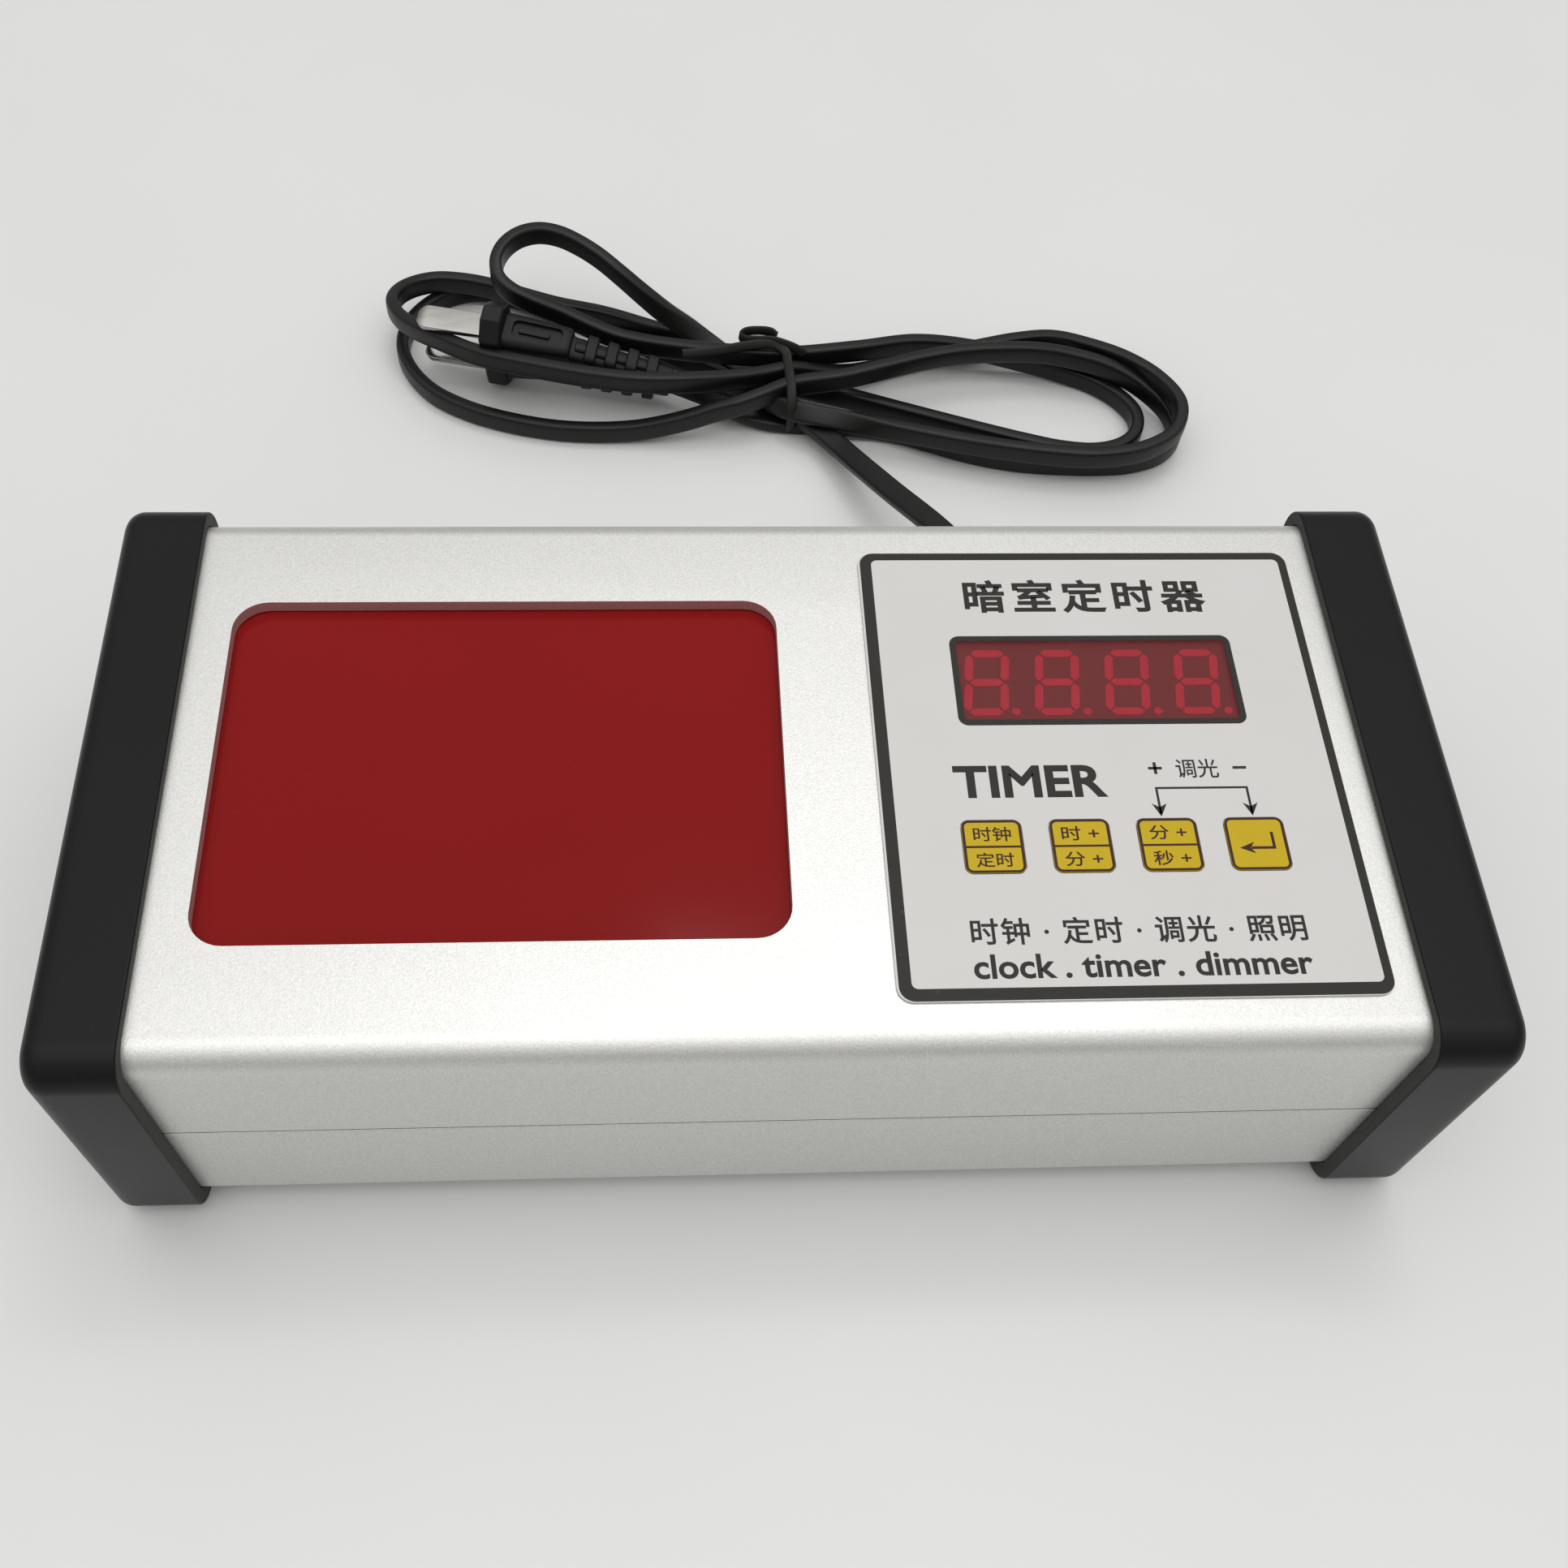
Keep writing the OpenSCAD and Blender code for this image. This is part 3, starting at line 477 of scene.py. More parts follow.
relief_turn = math.radians(8)


def in_relief(points):
    """Points of the relief, which bends 8 degrees down from the grip, put where the plug lies."""
    x, y, z = np.moveaxis(np.asarray(points, float), -1, 0)
    down_x = x * math.cos(relief_turn) + z * math.sin(relief_turn) + 21
    down_z = z * math.cos(relief_turn) - x * math.sin(relief_turn) - 1.5
    return in_plug(np.stack([down_x, y, down_z], axis=-1))


core_rings = [bar_ring(-1.5, 7.2, 11.6, 2), bar_ring(0.4, 7, 11, 2), bar_ring(12, 6.2, 9, 1.9),
              bar_ring(23, 5.4, 7.2, 1.7), bar_ring(24, 5.1, 6.9, 1.6), bar_ring(24.3, 3.6, 5.4, 1.4)]
relief_core = skin("plug_relief_core", in_relief(core_rings))
segments = []
for x in (3, 8, 13, 18):
    deep, tall = 8.4 - x / 10, 14 - x / 10
    ring = [bar_ring(x - 0.3, deep - 0.7, tall - 0.7, 1.7), bar_ring(x, deep, tall, 1.9),
            bar_ring(x + 2.2, deep - 0.2, tall - 0.5, 1.9), bar_ring(x + 2.5, deep - 0.9, tall - 1.2, 1.7)]
    segments.append(skin(f"plug_relief_rib_{x}", in_relief(ring), crease=30))
bridges = []
for x in (0.2, 5.2, 10.2, 15.2):
    tall = 11 - x / 7
    ring = [bar_ring(x, 3, tall + 1.5, 1), bar_ring(x + 3.2, 2.8, tall + 1.1, 1)]
    bridges.append(ease(skin(f"plug_relief_web_{int(x)}", in_relief(ring), crease=30), 0.2))
dress(soft_pvc, "cord_pvc", flange, grip, relief_core, *segments, *bridges)
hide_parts("plug_body")
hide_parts("plug_relief")

blades = []
for z in (-6.35, 6.35):
    stations = [(-16.4, 2.6, 0.5), (-16.1, 3.6, 0.9), (-15.2, 5.4, 1.35), (-14.6, 6.1, 1.5), (-14, 6.3, 1.5),
                (0.4, 6.3, 1.5)]
    blade = skin("plug_blade_" + ("upper" if z > 0 else "lower"),
                 in_plug([bar_ring(x, deep, tall, 0.24, z=z, arc=4) for x, deep, tall in stations]), crease=40)
    blades.append(blade)
plating = Finish("blade_plating", metallic=1.0)
streak = plating.place.noise(1.2, 3, (0.15, 1, 1))
plating.vary(base_color=streak.between((0.3, 0.29, 0.27), (0.46, 0.45, 0.43)),
             roughness=streak.between(0.14, 0.22))
plating.relief(streak, 0.01)
dress(plating, "plated_blade", *blades)
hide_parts("plug_blades")

# ---- Extruded case ----
# Two aluminium extrusions, glass-bead blasted and clear anodised, that meet along a seam halfway up. The
# upper one has the milled window opening and the hidden holes behind the panel.
half_length = 118.0
cap_inner = 102.7
shell_reach = 112.7
shell_half_depth = 54.75
shell_low, seam, shell_high = 3.0, 33.5, 62.0
shell_wall = 2.5
shell_corner = 5.0
window_centre, window_size, window_corner = -47.1, (97.0, 68.8), 6.0
display_centre, display_size, display_corner = (58.1, 16.0), (51.4, 19.4), 1.8
key_places = [(35.6 + 15 * i, -18.2) for i in range(4)]
key_side = 10.2


def trough(edge, top, sign, wall=0.0):
    """Half the case's outline in Y and Z, from one seam edge over the corners to the other; wall draws it in."""
    radius = shell_corner - wall
    half = shell_half_depth - wall
    angle = np.linspace(0, np.pi / 2, 13)
    far_z = top - sign * wall
    right = np.stack([half - radius + radius * np.cos(angle), far_z - sign * radius * (1 - np.sin(angle))], 1)
    left = right[::-1] * (-1, 1)
    return np.concatenate([[[half, edge]], right, left, [[-half, edge]]])


def extruded(name, edge, top, sign):
    """The half case: its outline, out along the outside and back along the inside, carried along X."""
    outer = trough(edge, top, sign)
    inner = trough(edge, top, sign, shell_wall)
    loop = np.concatenate([outer, inner[::-1]])
    rings = [np.column_stack([np.full(len(loop), x), loop]) for x in (-shell_reach, shell_reach)]
    return skin(name, rings, crease=30)


def upright_ring(centre, size, corner, z, arc=9):
    """A rounded rectangle lying level at height z."""
    ring = bar_ring(z, size[0], size[1], corner, y=centre[0], z=centre[1], arc=arc)
    return ring[:, [1, 2, 0]]


def post(name, centre, size, corner, low, high, arc=9):
    """A straight block whose plan is a rounded rectangle."""
    return skin(name, [upright_ring(centre, size, corner, z, arc) for z in (low, high)])


case_top = extruded("case_top", seam + 0.35, shell_high, 1)
carve(case_top, post("window_cut", (window_centre, 0), window_size, window_corner, 55, 70))
carve(case_top, post("display_cut", display_centre, (50.6, 19.2), 0.8, 55, 70))
for place in key_places:
    carve(case_top, post("key_cut", place, (5.2, 5.2), 2.59, 55, 70))
case_bottom = extruded("case_bottom", seam - 0.2, shell_low, -1)
exit_hole = turned("exit_cut", [(0, 5.0), (8, 5.0)], (48, 50, 18))
carve(case_bottom, exit_hole)
ease(case_top, 0.3)
ease(case_bottom, 0.3)

anodised = Finish("anodised_aluminium")
blast = anodised.place.noise(0.3, 1.5)
sparkle = anodised.place.noise(0.2, 1.0)
haze = anodised.place.noise(38, 2)
grain = blast.above(0.3, 2.5)
tone = grain.between((0.615, 0.61, 0.59), (0.735, 0.73, 0.71))
edge_height = anodised.place.axis("Z") * 1000 - seam
# Painted shade: from just below the seam up over the top shell's bevel the aluminium is coloured near black, standing
# in for the shadow in the seam's gap.
painted_seam_shade = 1 - (abs(edge_height - 0.2) > 0.42)
# Painted highlight: the brightest specks of a fine noise are coloured near white and made a little smoother, standing
# in for the glints of the blasted surface.
painted_glint = sparkle.above(0.62, 5.0)
anodised.vary(base_color=painted_seam_shade.between(painted_glint.between(tone, (0.9, 0.89, 0.87)), (0.02, 0.02, 0.02)),
              metallic=0.84,
              roughness=haze.between(0.4, 0.5) - painted_glint * 0.1)
anodised.relief(blast, 0.025)
dress(anodised, "satin_aluminium", case_top, case_bottom)
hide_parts("top_shell")
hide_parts("bottom_shell")


# ---- End caps ----
# Black moulded caps that close the extrusion; each is a tray 15 mm deep whose rim stands proud of the case
# and whose outer edge is rounded all round. Four screws hold each one, in counterbores.
def end_cap(name, side):
    """Rings from the pocket's floor out over the rim, along the cap and round its outer edge to its face."""
    rows = [(shell_reach + 0.3, 109.7, 59.2, 5.1, 32.5), (cap_inner + 0.25, 109.7, 59.2, 5.1, 32.5),
            (cap_inner, 110.1, 59.6, 5.3, 32.5), (cap_inner, 114.3, 63.3, 6.2, 32),
            (cap_inner + 0.35, 115, 64, 6.5, 32)]
    rings = [bar_ring(side * x, deep, tall, corner, z=z, arc=11) for x, deep, tall, corner, z in rows]
    rings += [bar_ring(side * x, 115, 64, 6.5, z=32, arc=11) for x in (106, 110, 113)]
    for angle in np.radians(np.linspace(0, 90, 9)):
        inset = 3.5 * (1 - math.cos(angle))
        rings.append(bar_ring(side * (half_length - 3.5 + 3.5 * math.sin(angle)), 115 - 2 * inset, 64 - 2 * inset,
                              6.5 - inset, z=32, arc=11))
    cap = skin(name, rings, crease=40)
    for y in (-49.65, 49.65):
        for z in (8.1, 56.9):
            base = (side * (half_length - 2.5), y, z)
            carve(cap, turned("screw_cut", [(0, 3.1), (5, 3.1)], base, (side, 0, 0), around=40))
    return ease(cap, 0.15)


caps = [end_cap("end_cap_left_form", -1), end_cap("end_cap_right_form", 1)]
moulding = Finish("cap_moulding", specular_ior_level=0.16)
wisp = moulding.place.noise(30, 3)
leather = moulding.place.noise(0.55, 3)
dust = moulding.place.noise(1.6, 4).above(0.66, 3.0)
rim = abs(moulding.place.axis("X")) * 1000
rim_face = 1 - (rim > cap_inner + 0.12)
black = wisp.between((0.0052, 0.0053, 0.0053), (0.0075, 0.0076, 0.0075))
moulding.vary(base_color=rim_face.between(dust.between(black, (0.02, 0.02, 0.02)),
                                          (0.05, 0.05, 0.045)),
              roughness=rim_face * 0.25 + wisp.between(0.3, 0.4))
moulding.relief(leather, 0.02)
dress(moulding, "black_moulding", *caps)
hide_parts("end_cap_left")
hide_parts("end_cap_right")

# ---- Cap screws ----
# Zinc-plated pan-head screws, sunk below the caps' faces.
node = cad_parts


def metal(name, dark, bright, rough=0.3, size=0.8, depth=0.01, stretch=(1, 1, 1), metallic=1.0):
    """Bare or plated metal: fine streaks of two tones, with a roughness and a shallow relief that follow."""
    finish = Finish(name, metallic=metallic)
    streaks = finish.place.noise(size, 3, stretch)
    stain = finish.place.noise(9, 2)
    finish.vary(base_color=(streaks * 0.6 + stain * 0.4).between(dark, bright),
                roughness=stain.between(rough - 0.06, rough + 0.08))
    finish.relief(streaks, depth)
    return finish


zinc = metal("zinc_plate", (0.4, 0.41, 0.42), (0.68, 0.68, 0.67), 0.32)
zinc.coat_on(*(node[n] for n in ("cap_screws_left", "cap_screws_right", "tray_screws", "board_screws",
                                 "power_screws")))

# ---- Safelight window ----
# A sheet of polished deep red acrylic, 3 mm thick, taped from inside behind the window opening. Behind it
# are an opal sheet and a white tray with four rows of lamps on an aluminium board.
acrylic = Finish("deep_red_acrylic", specular_ior_level=0.12, ior=1.49)
depth_cloud = acrylic.place.noise(60, 2)
fine_dust = acrylic.place.noise(0.9, 3).above(0.68, 2.5)
# Painted light: the pane's red is made lighter towards the back and darker towards the front.
painted_light_to_back = acrylic.place.axis("Y") * 9.0 + 0.5
acrylic.vary(base_color=fine_dust.between((depth_cloud * 0.3 + painted_light_to_back * 0.7).between((0.185, 0.0012, 0.0014),
                                                                                   (0.235, 0.0035, 0.0042)),
                                          (0.3, 0.03, 0.03)),
             roughness=depth_cloud.between(0.09, 0.15))
acrylic.relief(depth_cloud, 0.12)
acrylic.coat_on(node["safelight_pane"])

tape = plastic("clear_tape", (0.62, 0.6, 0.55), rough=0.3, grain=1.5, depth=0.02)
tape.coat_on(node["pane_tape"])
opal = plastic("opal_sheet", (0.82, 0.8, 0.77), rough=0.42, mottle=0.03, grain=0.6, depth=0.01)
opal.coat_on(node["diffuser_sheet"])
enamel = plastic("white_enamel", (0.78, 0.78, 0.76), rough=0.3, mottle=0.04, grain=1.4, depth=0.03)
enamel.coat_on(node["lamp_tray"])


def board(name, mask, copper, pitch=2.54, angle=0.0):
    """A circuit board: solder mask with copper tracks that show through it in runs of one pitch."""
    finish = Finish(name)
    turned_place = finish.place.node("Mapping", None, {"Vector": finish.place, "Rotation": (0, 0, angle)})
    grid = {"offset": 0.5, "squash": 1.0}
    tracks = turned_place.node("TexBrick", grid, {
        "Vector": turned_place, "Scale": 1.0, "Mortar Size": 0.25 * MM, "Mortar Smooth": 0.1, "Brick Width": 7 * pitch * MM,
        "Row Height": pitch * MM,
    }, output=1)
    weave = finish.place.noise(0.8, 2)
    lit = tracks * 0.7
    finish.vary(base_color=lit.between(weave.between(mask, tuple(c * 1.3 for c in mask)), copper),
                roughness=weave.between(0.3, 0.4))
    finish.relief(lit, 0.03)
    return finish


lamp_mask = board("white_lamp_board", (0.68, 0.68, 0.66), (0.8, 0.79, 0.74), 12.5)
lamp_mask.coat_on(node["lamp_board"])
lamp_mould = plastic("lamp_mould", (0.8, 0.66, 0.26), rough=0.25, mottle=0.08, grain=0.5)
lamp_mould.coat_on(node["lamps"])
brass = metal("turned_brass", (0.52, 0.36, 0.13), (0.74, 0.56, 0.25), 0.28, 0.5, stretch=(1, 1, 6))
brass.coat_on(node["tray_standoffs"], node["board_standoffs"], node["power_standoffs"])
sleeve = plastic("wire_sleeve", (0.3, 0.05, 0.04), rough=0.38, mottle=0.2, grain=0.7)
sleeve.coat_on(node["lamp_wires"])

# ---- Panel sheet ----
# Printed polyester membrane, half a millimetre thick, stuck to the case with its keys and display window.
# The print is a light grey ground inside a charcoal border; a clear margin is left outside the border.
panel_centre, panel_size, panel_corner = (57.6, -0.7), (81.0, 91.5), 2.8
panel_low, panel_top = 62.0, 62.5
ink_rise = 0.02
panel = post("panel_sheet", panel_centre, panel_size, panel_corner, panel_low, panel_top, 11)
carve(panel, post("display_opening", display_centre, display_size, display_corner, 61, 64))
for place in key_places:
    carve(panel, post("key_opening", place, (key_side + 0.24,) * 2, 1.5, 61, 64))
ease(panel, 0.1, 2)
grey_print = Finish("light_grey_print", specular_ior_level=0.3)
ink_cloud = grey_print.place.noise(16, 3)
pebble = grey_print.place.noise(0.3, 1)
grey_print.vary(base_color=ink_cloud.between((0.575, 0.565, 0.55), (0.61, 0.6, 0.59)),
                roughness=ink_cloud.between(0.42, 0.5))
grey_print.relief(pebble, 0.006)
dress(grey_print, "membrane_print", panel)
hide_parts("overlay_panel")


def frame_strip(name, outer, inner, low, high):
    """A flat closed strip between two rounded rectangles, each (centre, size, corner)."""
    rings = [upright_ring(*outer, low), upright_ring(*outer, high), upright_ring(*inner, high),
             upright_ring(*inner, low)]
    return skin(name, rings, closed=True, crease=20)


border = frame_strip("panel_border", ((57.75, -0.65), (80.5, 91.3), 2.6), ((58.05, -0.375), (76.9, 87.5), 1.1),
                     panel_top - 0.02, panel_top + ink_rise)
charcoal = Finish("charcoal_ink", specular_ior_level=0.15)
worn = charcoal.place.noise(1.1, 5).above(0.69, 4.0)
charcoal.vary(base_color=worn.between((0.028, 0.027, 0.024), (0.1, 0.095, 0.085)),
              roughness=charcoal.place.noise(4).between(0.4, 0.52))
charcoal.relief(charcoal.place.noise(0.3, 1), 0.006)


def lettering(name, words, centre, height, width=None, bold=0.0, z=panel_top, spread=1.0):
    """Words in Blender's own plain face, made a thin mesh: their box is centred, scaled to a height and,
    if asked, a width in mm, and stands ink_rise above z."""
    curve = bpy.data.curves.new(name, "FONT")
    curve.body = words
    curve.space_character = spread
    curve.extrude = 0.1
    curve.bevel_depth = bold
    curve.bevel_resolution = 0
    curve.resolution_u = 4
    holder = bpy.data.objects.new(name + "_curve", curve)
    bpy.context.scene.collection.objects.link(holder)
    bpy.context.view_layer.update()
    mesh = bpy.data.meshes.new_from_object(holder.evaluated_get(bpy.context.evaluated_depsgraph_get()))
    bpy.data.objects.remove(holder)
    flat = np.empty(len(mesh.vertices) * 3)
    mesh.vertices.foreach_get("co", flat)
    flat = flat.reshape(-1, 3)
    low, high = flat.min(axis=0), flat.max(axis=0)
    grow_y = height / (high[1] - low[1])
    grow_x = width / (high[0] - low[0]) if width else grow_y
    flat[:, :2] = (flat[:, :2] - (low[:2] + high[:2]) / 2) * (grow_x, grow_y) + centre
    flat[:, 2] = z + np.where(flat[:, 2] > 0, ink_rise, -0.01)
    mesh.vertices.foreach_set("co", (flat * MM).ravel())
    return piece_of(name, mesh, 20)


def stroke(name, points, wide, z=panel_top):
    """A straight-sided line of ink: the points, widened by half the width each side with mitred bends."""
    line = np.asarray(points, float)
    way = np.diff(line, axis=0)
    way /= np.linalg.norm(way, axis=1)[:, None]
    ahead, behind = np.vstack([way, way[-1]]), np.vstack([way[0], way])
    side = np.stack([-(ahead + behind)[:, 1], (ahead + behind)[:, 0]], 1)
    side /= (np.linalg.norm(side, axis=1) ** 2 / 2)[:, None]
    left, right = line + side * wide / 2, line - side * wide / 2
    rings = np.stack([np.column_stack([p, np.full(len(p), h)]) for p, h in
                      ((left, z - 0.01), (left, z + ink_rise), (right, z + ink_rise), (right, z - 0.01))], 1)
    return skin(name, rings, crease=20)


def arrow_head(name, tip, way, long, wide, z=panel_top):
    """A swept-back arrow head: tip, two barbs and a notch, as a thin plate."""
    way = np.asarray(way, float)
    side = np.array([-way[1], way[0]])
    plan = np.array([np.asarray(tip, float), tip - way * long + side * wide / 2, tip - way * long * 0.72,
                     tip - way * long - side * wide / 2])
    rings = [np.column_stack([plan, np.full(4, h)]) for h in (z - 0.01, z + ink_rise)]
    return skin(name, rings, crease=20)


# The words on the sheet are general: darkroom timer, dimming, and the words for clock, timing and dimming.
title = lettering("title", "暗室定时器", (58.6, 34.8), 7.8, 45.0, bold=0.026, spread=1.28)
label = lettering("bold_label", "TIMER", (43.4, -5.4), 6.5, 26.4, bold=0.03)
dimming = lettering("dimming_word", "调光", (72.9, -3.05), 3.9, 7.4, bold=0.008)
line_one = lettering("function_words", "时钟 · 定时 · 调光 · 照明", (57.8, -34.1), 5.0, 55.5, bold=0.016, spread=1.1)
line_two = lettering("function_line", "clock . timer . dimmer", (57.6, -40.4), 4.4, 55.5, bold=0.022)
plus = [stroke("plus_bar", [(64.35, -2.95), (66.75, -2.95)], 0.55),
        stroke("plus_post", [(65.55, -1.75), (65.55, -4.15)], 0.55)]
minus = stroke("minus_bar", [(79.2, -2.95), (81.6, -2.95)], 0.55)
bracket = stroke("dimming_bracket", [(65.1, -12.2), (65.1, -7.0), (80.9, -7.0), (80.9, -12.2)], 0.42)
heads = [arrow_head(f"bracket_arrow_{i}", np.array([x, -12.7]), (0, -1), 2.6, 2.6) for i, x in enumerate((65.1, 80.9))]
dress(charcoal, "membrane_print", border, title, label, dimming, line_one, line_two, *plus, minus, bracket, *heads)

# ---- Display ----
# Four seven-segment digits behind a smoked red film with a charcoal printed edge.
film = post("display_film", display_centre, (51.3, 19.3), display_corner, panel_low + 0.02, panel_top - 0.02)
smoke = Finish("smoked_red_film", alpha=0.37, specular_ior_level=0.2)
film_cloud = smoke.place.noise(12, 2)
smoke.vary(base_color=film_cloud.between((0.2, 0.022, 0.024), (0.235, 0.027, 0.03)),
           roughness=film_cloud.between(0.2, 0.28))
smoke.relief(smoke.place.noise(0.35, 1), 0.004)
dress(smoke, "smoked_red_film", film)
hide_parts("display_window")
edge = frame_strip("display_edge", (display_centre, (51.35, 19.35), display_corner),
                   (display_centre, (49.2, 17.1), 0.7),
                   panel_top - 0.05, panel_top + ink_rise)
dress(charcoal, "smoked_red_film", edge)

# Painted light: the segments are unlit, but get a weak red glow of their own so that they show through the smoked film.
lens = Finish("display_segments_red", roughness=0.4)
segment_cloud = lens.place.noise(2.2, 2)
lens.vary(base_color=segment_cloud.between((0.75, 0.03, 0.07), (0.95, 0.05, 0.1)),
          emission_color=segment_cloud.between((0.6, 0.02, 0.05), (0.8, 0.03, 0.07)))
lens.shader.inputs["Emission Strength"].default_value = 0.25
lens.coat_on(node["display_segments"])
face = plastic("display_face", (0.14, 0.06, 0.055), rough=0.5, mottle=0.15, grain=0.5)
face.coat_on(node["display_module"])

# ---- Keys ----
# Four embossed yellow membrane keys, each with a printed outline and legend, over a white stem that reaches
# down to its switch. Each key and its print move together.
yellow = Finish("yellow_print", specular_ior_level=0.15)
yellow_cloud = yellow.place.noise(5, 3)
yellow.vary(base_color=yellow_cloud.between((0.485, 0.335, 0.009), (0.54, 0.38, 0.014)),
            roughness=yellow_cloud.between(0.38, 0.46))
yellow.relief(yellow.place.noise(0.3, 1), 0.006)
brown = Finish("brown_ink", specular_ior_level=0.15)
brown_cloud = brown.place.noise(1.5, 3)
brown.vary(base_color=brown_cloud.between((0.035, 0.014, 0.012), (0.055, 0.022, 0.018)), roughness=0.45)
brown.relief(brown_cloud, 0.004)
white_stem = plastic("white_stem", (0.7, 0.7, 0.68), rough=0.4, mottle=0.05, grain=0.5)
pad_low, pad_top = 62.3, 62.6
legends = [("时钟", "定时"), ("时 +", "分 +"), ("分 +", "秒 +"), None]
for number, (place, words) in enumerate(zip(key_places, legends), 1):
    x, y = place
    body = f"key_{number}"
    pad = ease(post(f"key_{number}_pad", place, (key_side, key_side), 1.4, pad_low, pad_top, 9), 0.1)
    dress(yellow, "key_yellow", pad, body=body)
    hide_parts(f"key_pad_{number}")
    ink = [frame_strip(f"key_{number}_outline", (place, (key_side - 0.1,) * 2, 1.35), (place, (9.2, 9.2), 0.85),
                       pad_top - 0.12, pad_top + 0.015)]
    if words:
        ink.append(stroke(f"key_{number}_divider", [(x - 4.7, y - 0.1), (x + 4.7, y - 0.1)], 0.4, z=pad_top))
        for row, word in zip((2.35, -2.6), words):
            ink.append(lettering(f"key_{number}_legend_{'upper' if row > 0 else 'lower'}", word, (x, y + row),
                                 2.8, 6.4, bold=0.01, z=pad_top))
    else:
        ink.append(stroke(f"key_{number}_enter_line", [(x + 2.75, y + 2.2), (x + 2.75, y - 0.85), (x - 1.2, y - 0.85)],
                          0.5, z=pad_top))
        ink.append(arrow_head(f"key_{number}_enter_arrow", np.array([x - 3.2, y - 0.85]), (-1, 0), 2.6, 2.2, z=pad_top))
    dress(brown, "key_yellow", *ink, body=body)
    white_stem.coat_on(node[f"key_stem_{number}"])
white_stem.coat_on(node["ribbon_header"])

# ---- Control board ----
# Green fibreglass board under the panel with the four switches, the clock parts and their buffer cell.
green_board = board("green_board", (0.012, 0.075, 0.03), (0.08, 0.2, 0.07), 2.54)
green_board.coat_on(node["control_board"])
epoxy = plastic("black_epoxy", (0.016, 0.016, 0.017), rough=0.48, mottle=0.25, grain=0.25, depth=0.015)
epoxy.coat_on(*(node[n] for n in ("switch_housings", "controller_chip", "display_driver", "cell_holder", "buzzer",
                                  "regulator", "rectifier_diodes")))
can = metal("bright_can", (0.5, 0.5, 0.49), (0.78, 0.78, 0.76), 0.22, 1.5, stretch=(1, 1, 4))
can.coat_on(node["clock_crystal"], node["backup_cell"], node["fuse_clips"])
ribbon_grey = Finish("ribbon_cable_grey", roughness=0.45)
wires = ribbon_grey.place.node("TexWave", {"wave_type": "BANDS", "bands_direction": "Y"},
                               {"Vector": ribbon_grey.place, "Scale": 125.0}, output=1)
ribbon_grey.vary(base_color=wires.between((0.16, 0.16, 0.165), (0.3, 0.3, 0.31)))
ribbon_grey.relief(wires, 0.12)
ribbon_grey.coat_on(node["ribbon_cable"])

# ---- Power supply ----
# Brown paper-base board with the mains transformer, rectifier, smoothing capacitor, regulator and fuse.
brown_board = board("brown_board", (0.2, 0.11, 0.045), (0.4, 0.26, 0.12), 5.08)
brown_board.coat_on(node["power_board"])
iron = Finish("laminated_iron", metallic=0.7)
leaves = iron.place.node("TexWave", {"wave_type": "BANDS", "bands_direction": "Z"},
                         {"Vector": iron.place, "Scale": 160.0}, output=1)
rust = iron.place.noise(7, 3)
iron.vary(base_color=leaves.between(rust.between((0.03, 0.03, 0.033), (0.06, 0.052, 0.045)), (0.13, 0.125, 0.12)),
          roughness=leaves.between(0.4, 0.62))
iron.relief(leaves, 0.06)
iron.coat_on(node["transformer_core"])
coil = Finish("coil_tape_yellow", coat_weight=0.2, coat_roughness=0.2)
wraps = coil.place.node("TexWave", {"wave_type": "BANDS", "bands_direction": "DIAGONAL"},
                        {"Vector": coil.place, "Scale": 60.0, "Distortion": 0.6}, output=1)
coil.vary(base_color=wraps.between((0.5, 0.33, 0.05), (0.66, 0.47, 0.1)), roughness=wraps.between(0.24, 0.36))
coil.relief(wraps, 0.05)
coil.coat_on(node["transformer_coil"])
capacitor = Finish("capacitor_sleeve_blue", coat_weight=0.3, coat_roughness=0.15)
stripe = capacitor.place.noise(4, 2)
capacitor.vary(base_color=stripe.between((0.012, 0.02, 0.06), (0.02, 0.035, 0.1)), roughness=stripe.between(0.28, 0.38))
capacitor.coat_on(node["smoothing_capacitor"])
black_fins = metal("black_anodised_fins", (0.018, 0.018, 0.019), (0.05, 0.05, 0.052), 0.42, 0.6, metallic=0.6)
black_fins.coat_on(node["regulator_heatsink"])
glass = Finish("fuse_glass", coat_weight=0.8, coat_roughness=0.03)
glass_band = glass.place.noise(2.5, 2, (0.3, 1, 1))
glass.vary(base_color=glass_band.between((0.62, 0.66, 0.66), (0.8, 0.82, 0.82)),
           roughness=glass_band.between(0.06, 0.14))
glass.coat_on(node["fuse"])
terminal = plastic("green_terminal", (0.02, 0.17, 0.07), rough=0.38, mottle=0.12, grain=0.4)
terminal.coat_on(node["mains_terminal"])
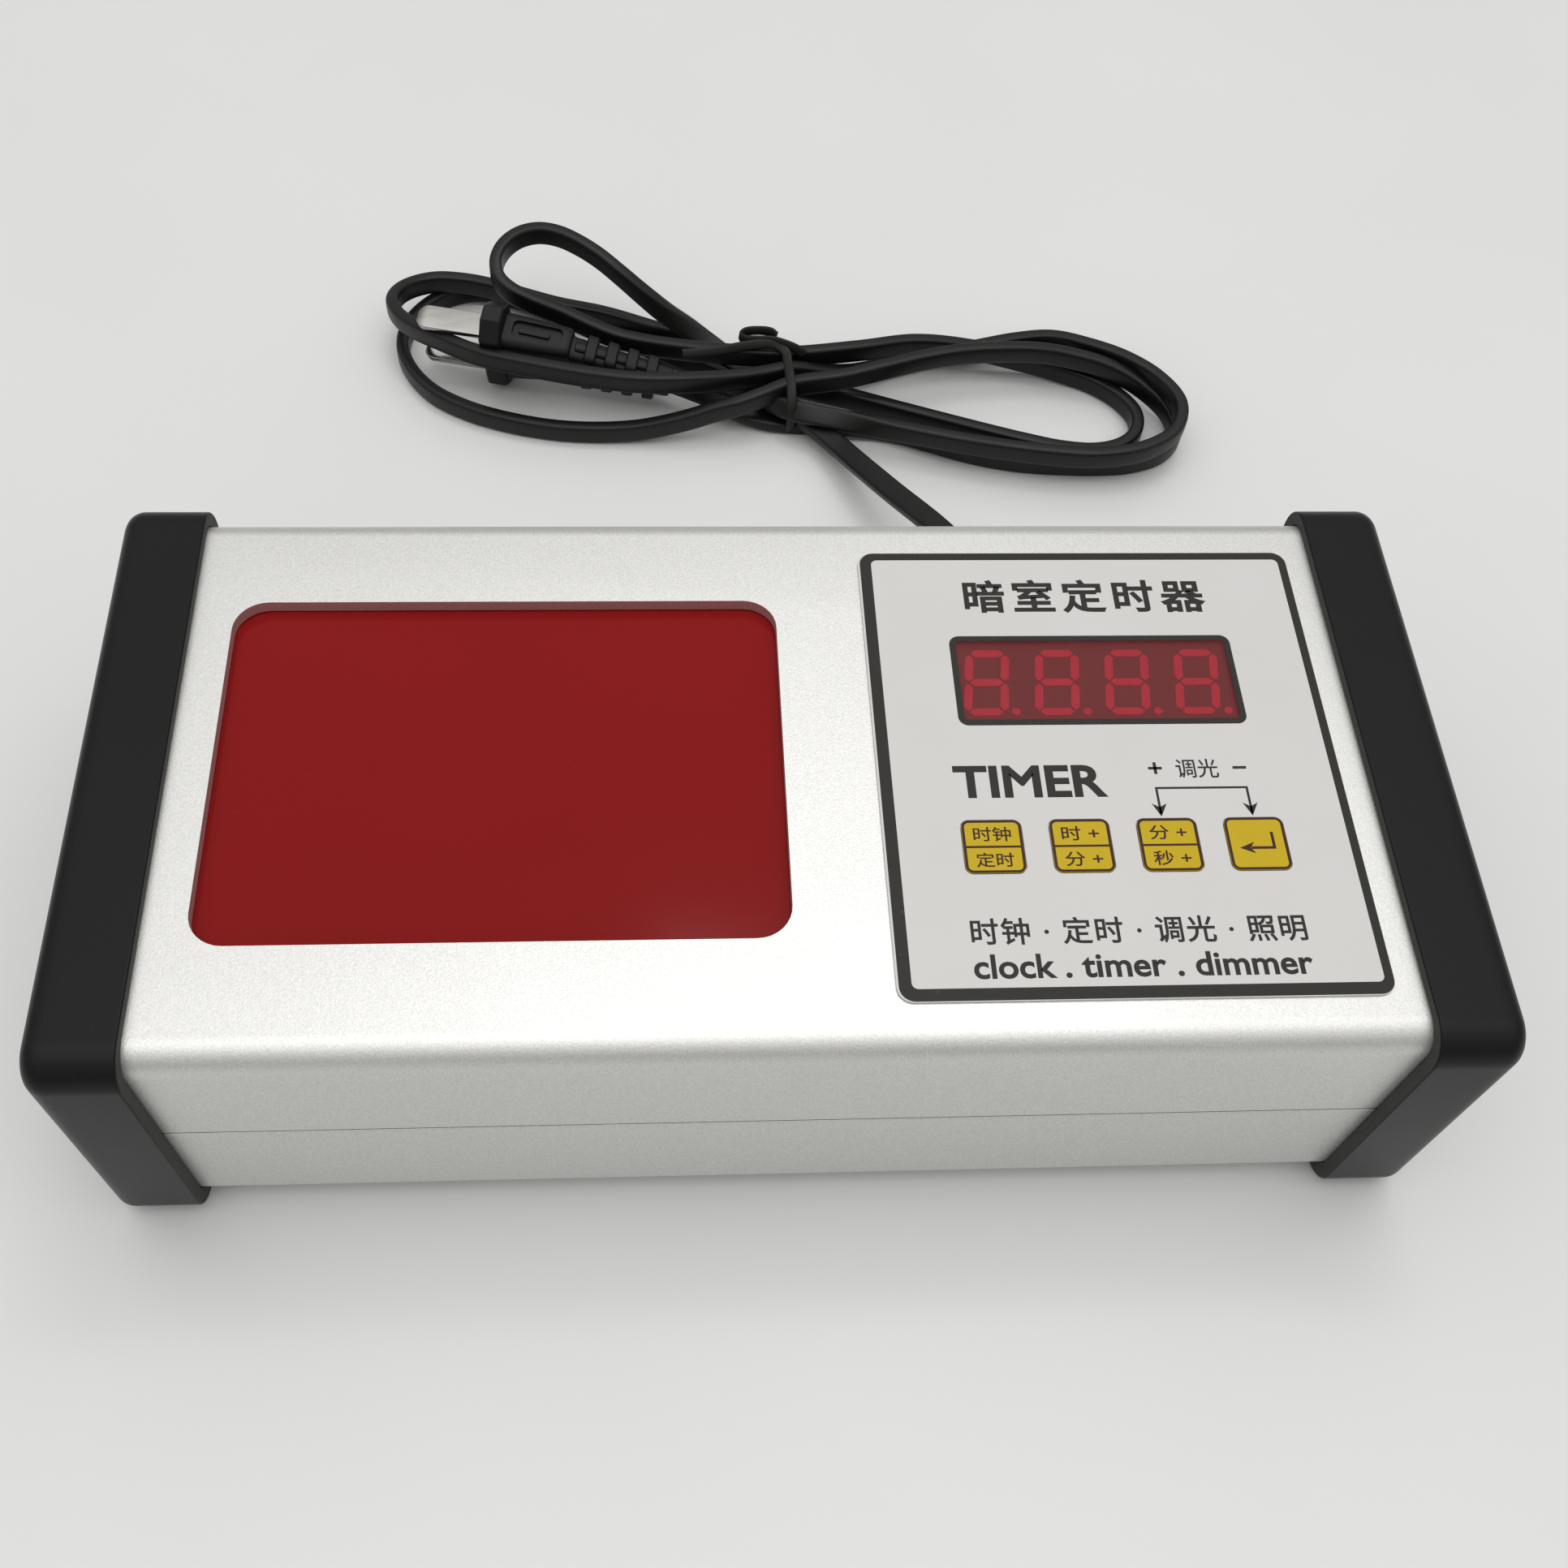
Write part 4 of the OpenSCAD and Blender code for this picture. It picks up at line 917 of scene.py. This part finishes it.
tails = plastic("mains_tails_sleeve", (0.12, 0.06, 0.03), rough=0.38, mottle=0.25, grain=0.6)
tails.coat_on(node["mains_tails"])

# ---- Floor and lights ----
# A plain pale table, one broad soft light above and behind the camera, and pale walls all round.
floor_size = 1.6
corner_xy = np.array([(-1, -1, 0), (1, -1, 0), (1, 1, 0), (-1, 1, 0)]) * floor_size
floor_mesh = bpy.data.meshes.new("table_top")
floor_mesh.from_pydata(corner_xy.tolist(), [], [(0, 1, 2, 3)])
table = bpy.data.objects.new("table_top", floor_mesh)
bpy.context.scene.collection.objects.link(table)
laminate = Finish("pale_laminate")
patch = laminate.place.noise(90, 3)
laminate.vary(base_color=patch.between((0.66, 0.665, 0.66), (0.7, 0.7, 0.695)), roughness=patch.between(0.32, 0.4))
laminate.coat_on(table)


def soft_light(name, place, aim, size, watts):
    """A square light that faces its aim."""
    data = bpy.data.lights.new(name, "AREA")
    data.shape = "RECTANGLE"
    data.size, data.size_y = size
    data.energy = watts
    lamp = bpy.data.objects.new(name, data)
    lamp.location = place
    way = np.asarray(aim, float) - np.asarray(place, float)
    lamp.rotation_euler = (math.atan2(math.hypot(way[0], way[1]), -way[2]), 0,
                           math.atan2(way[1], way[0]) - math.pi / 2)
    bpy.context.scene.collection.objects.link(lamp)


soft_light("ceiling_light", (0.1, -0.15, 2.2), (0, 0.05, 0), (2.2, 1.7), 8.5)
soft_light("back_light", (0.25, 0.72, 2.0), (0, 0, 0.03), (0.6, 0.25), 3)
world = bpy.data.worlds.new("pale_room")
world.use_nodes = True
room = world.node_tree.nodes["Background"]
room.inputs["Color"].default_value = (1.0, 1.0, 0.99, 1)
sky = Signal(world.node_tree, world.node_tree.nodes.new("ShaderNodeTexCoord").outputs["Generated"])
height = sky.maths("MAXIMUM", sky.axis("Z"), 0.0)
overhead = height * height * 1.15 + 0.3
world.node_tree.links.new(overhead.socket, room.inputs["Strength"])
bpy.context.scene.world = world
bpy.context.scene.view_settings.view_transform = "Standard"
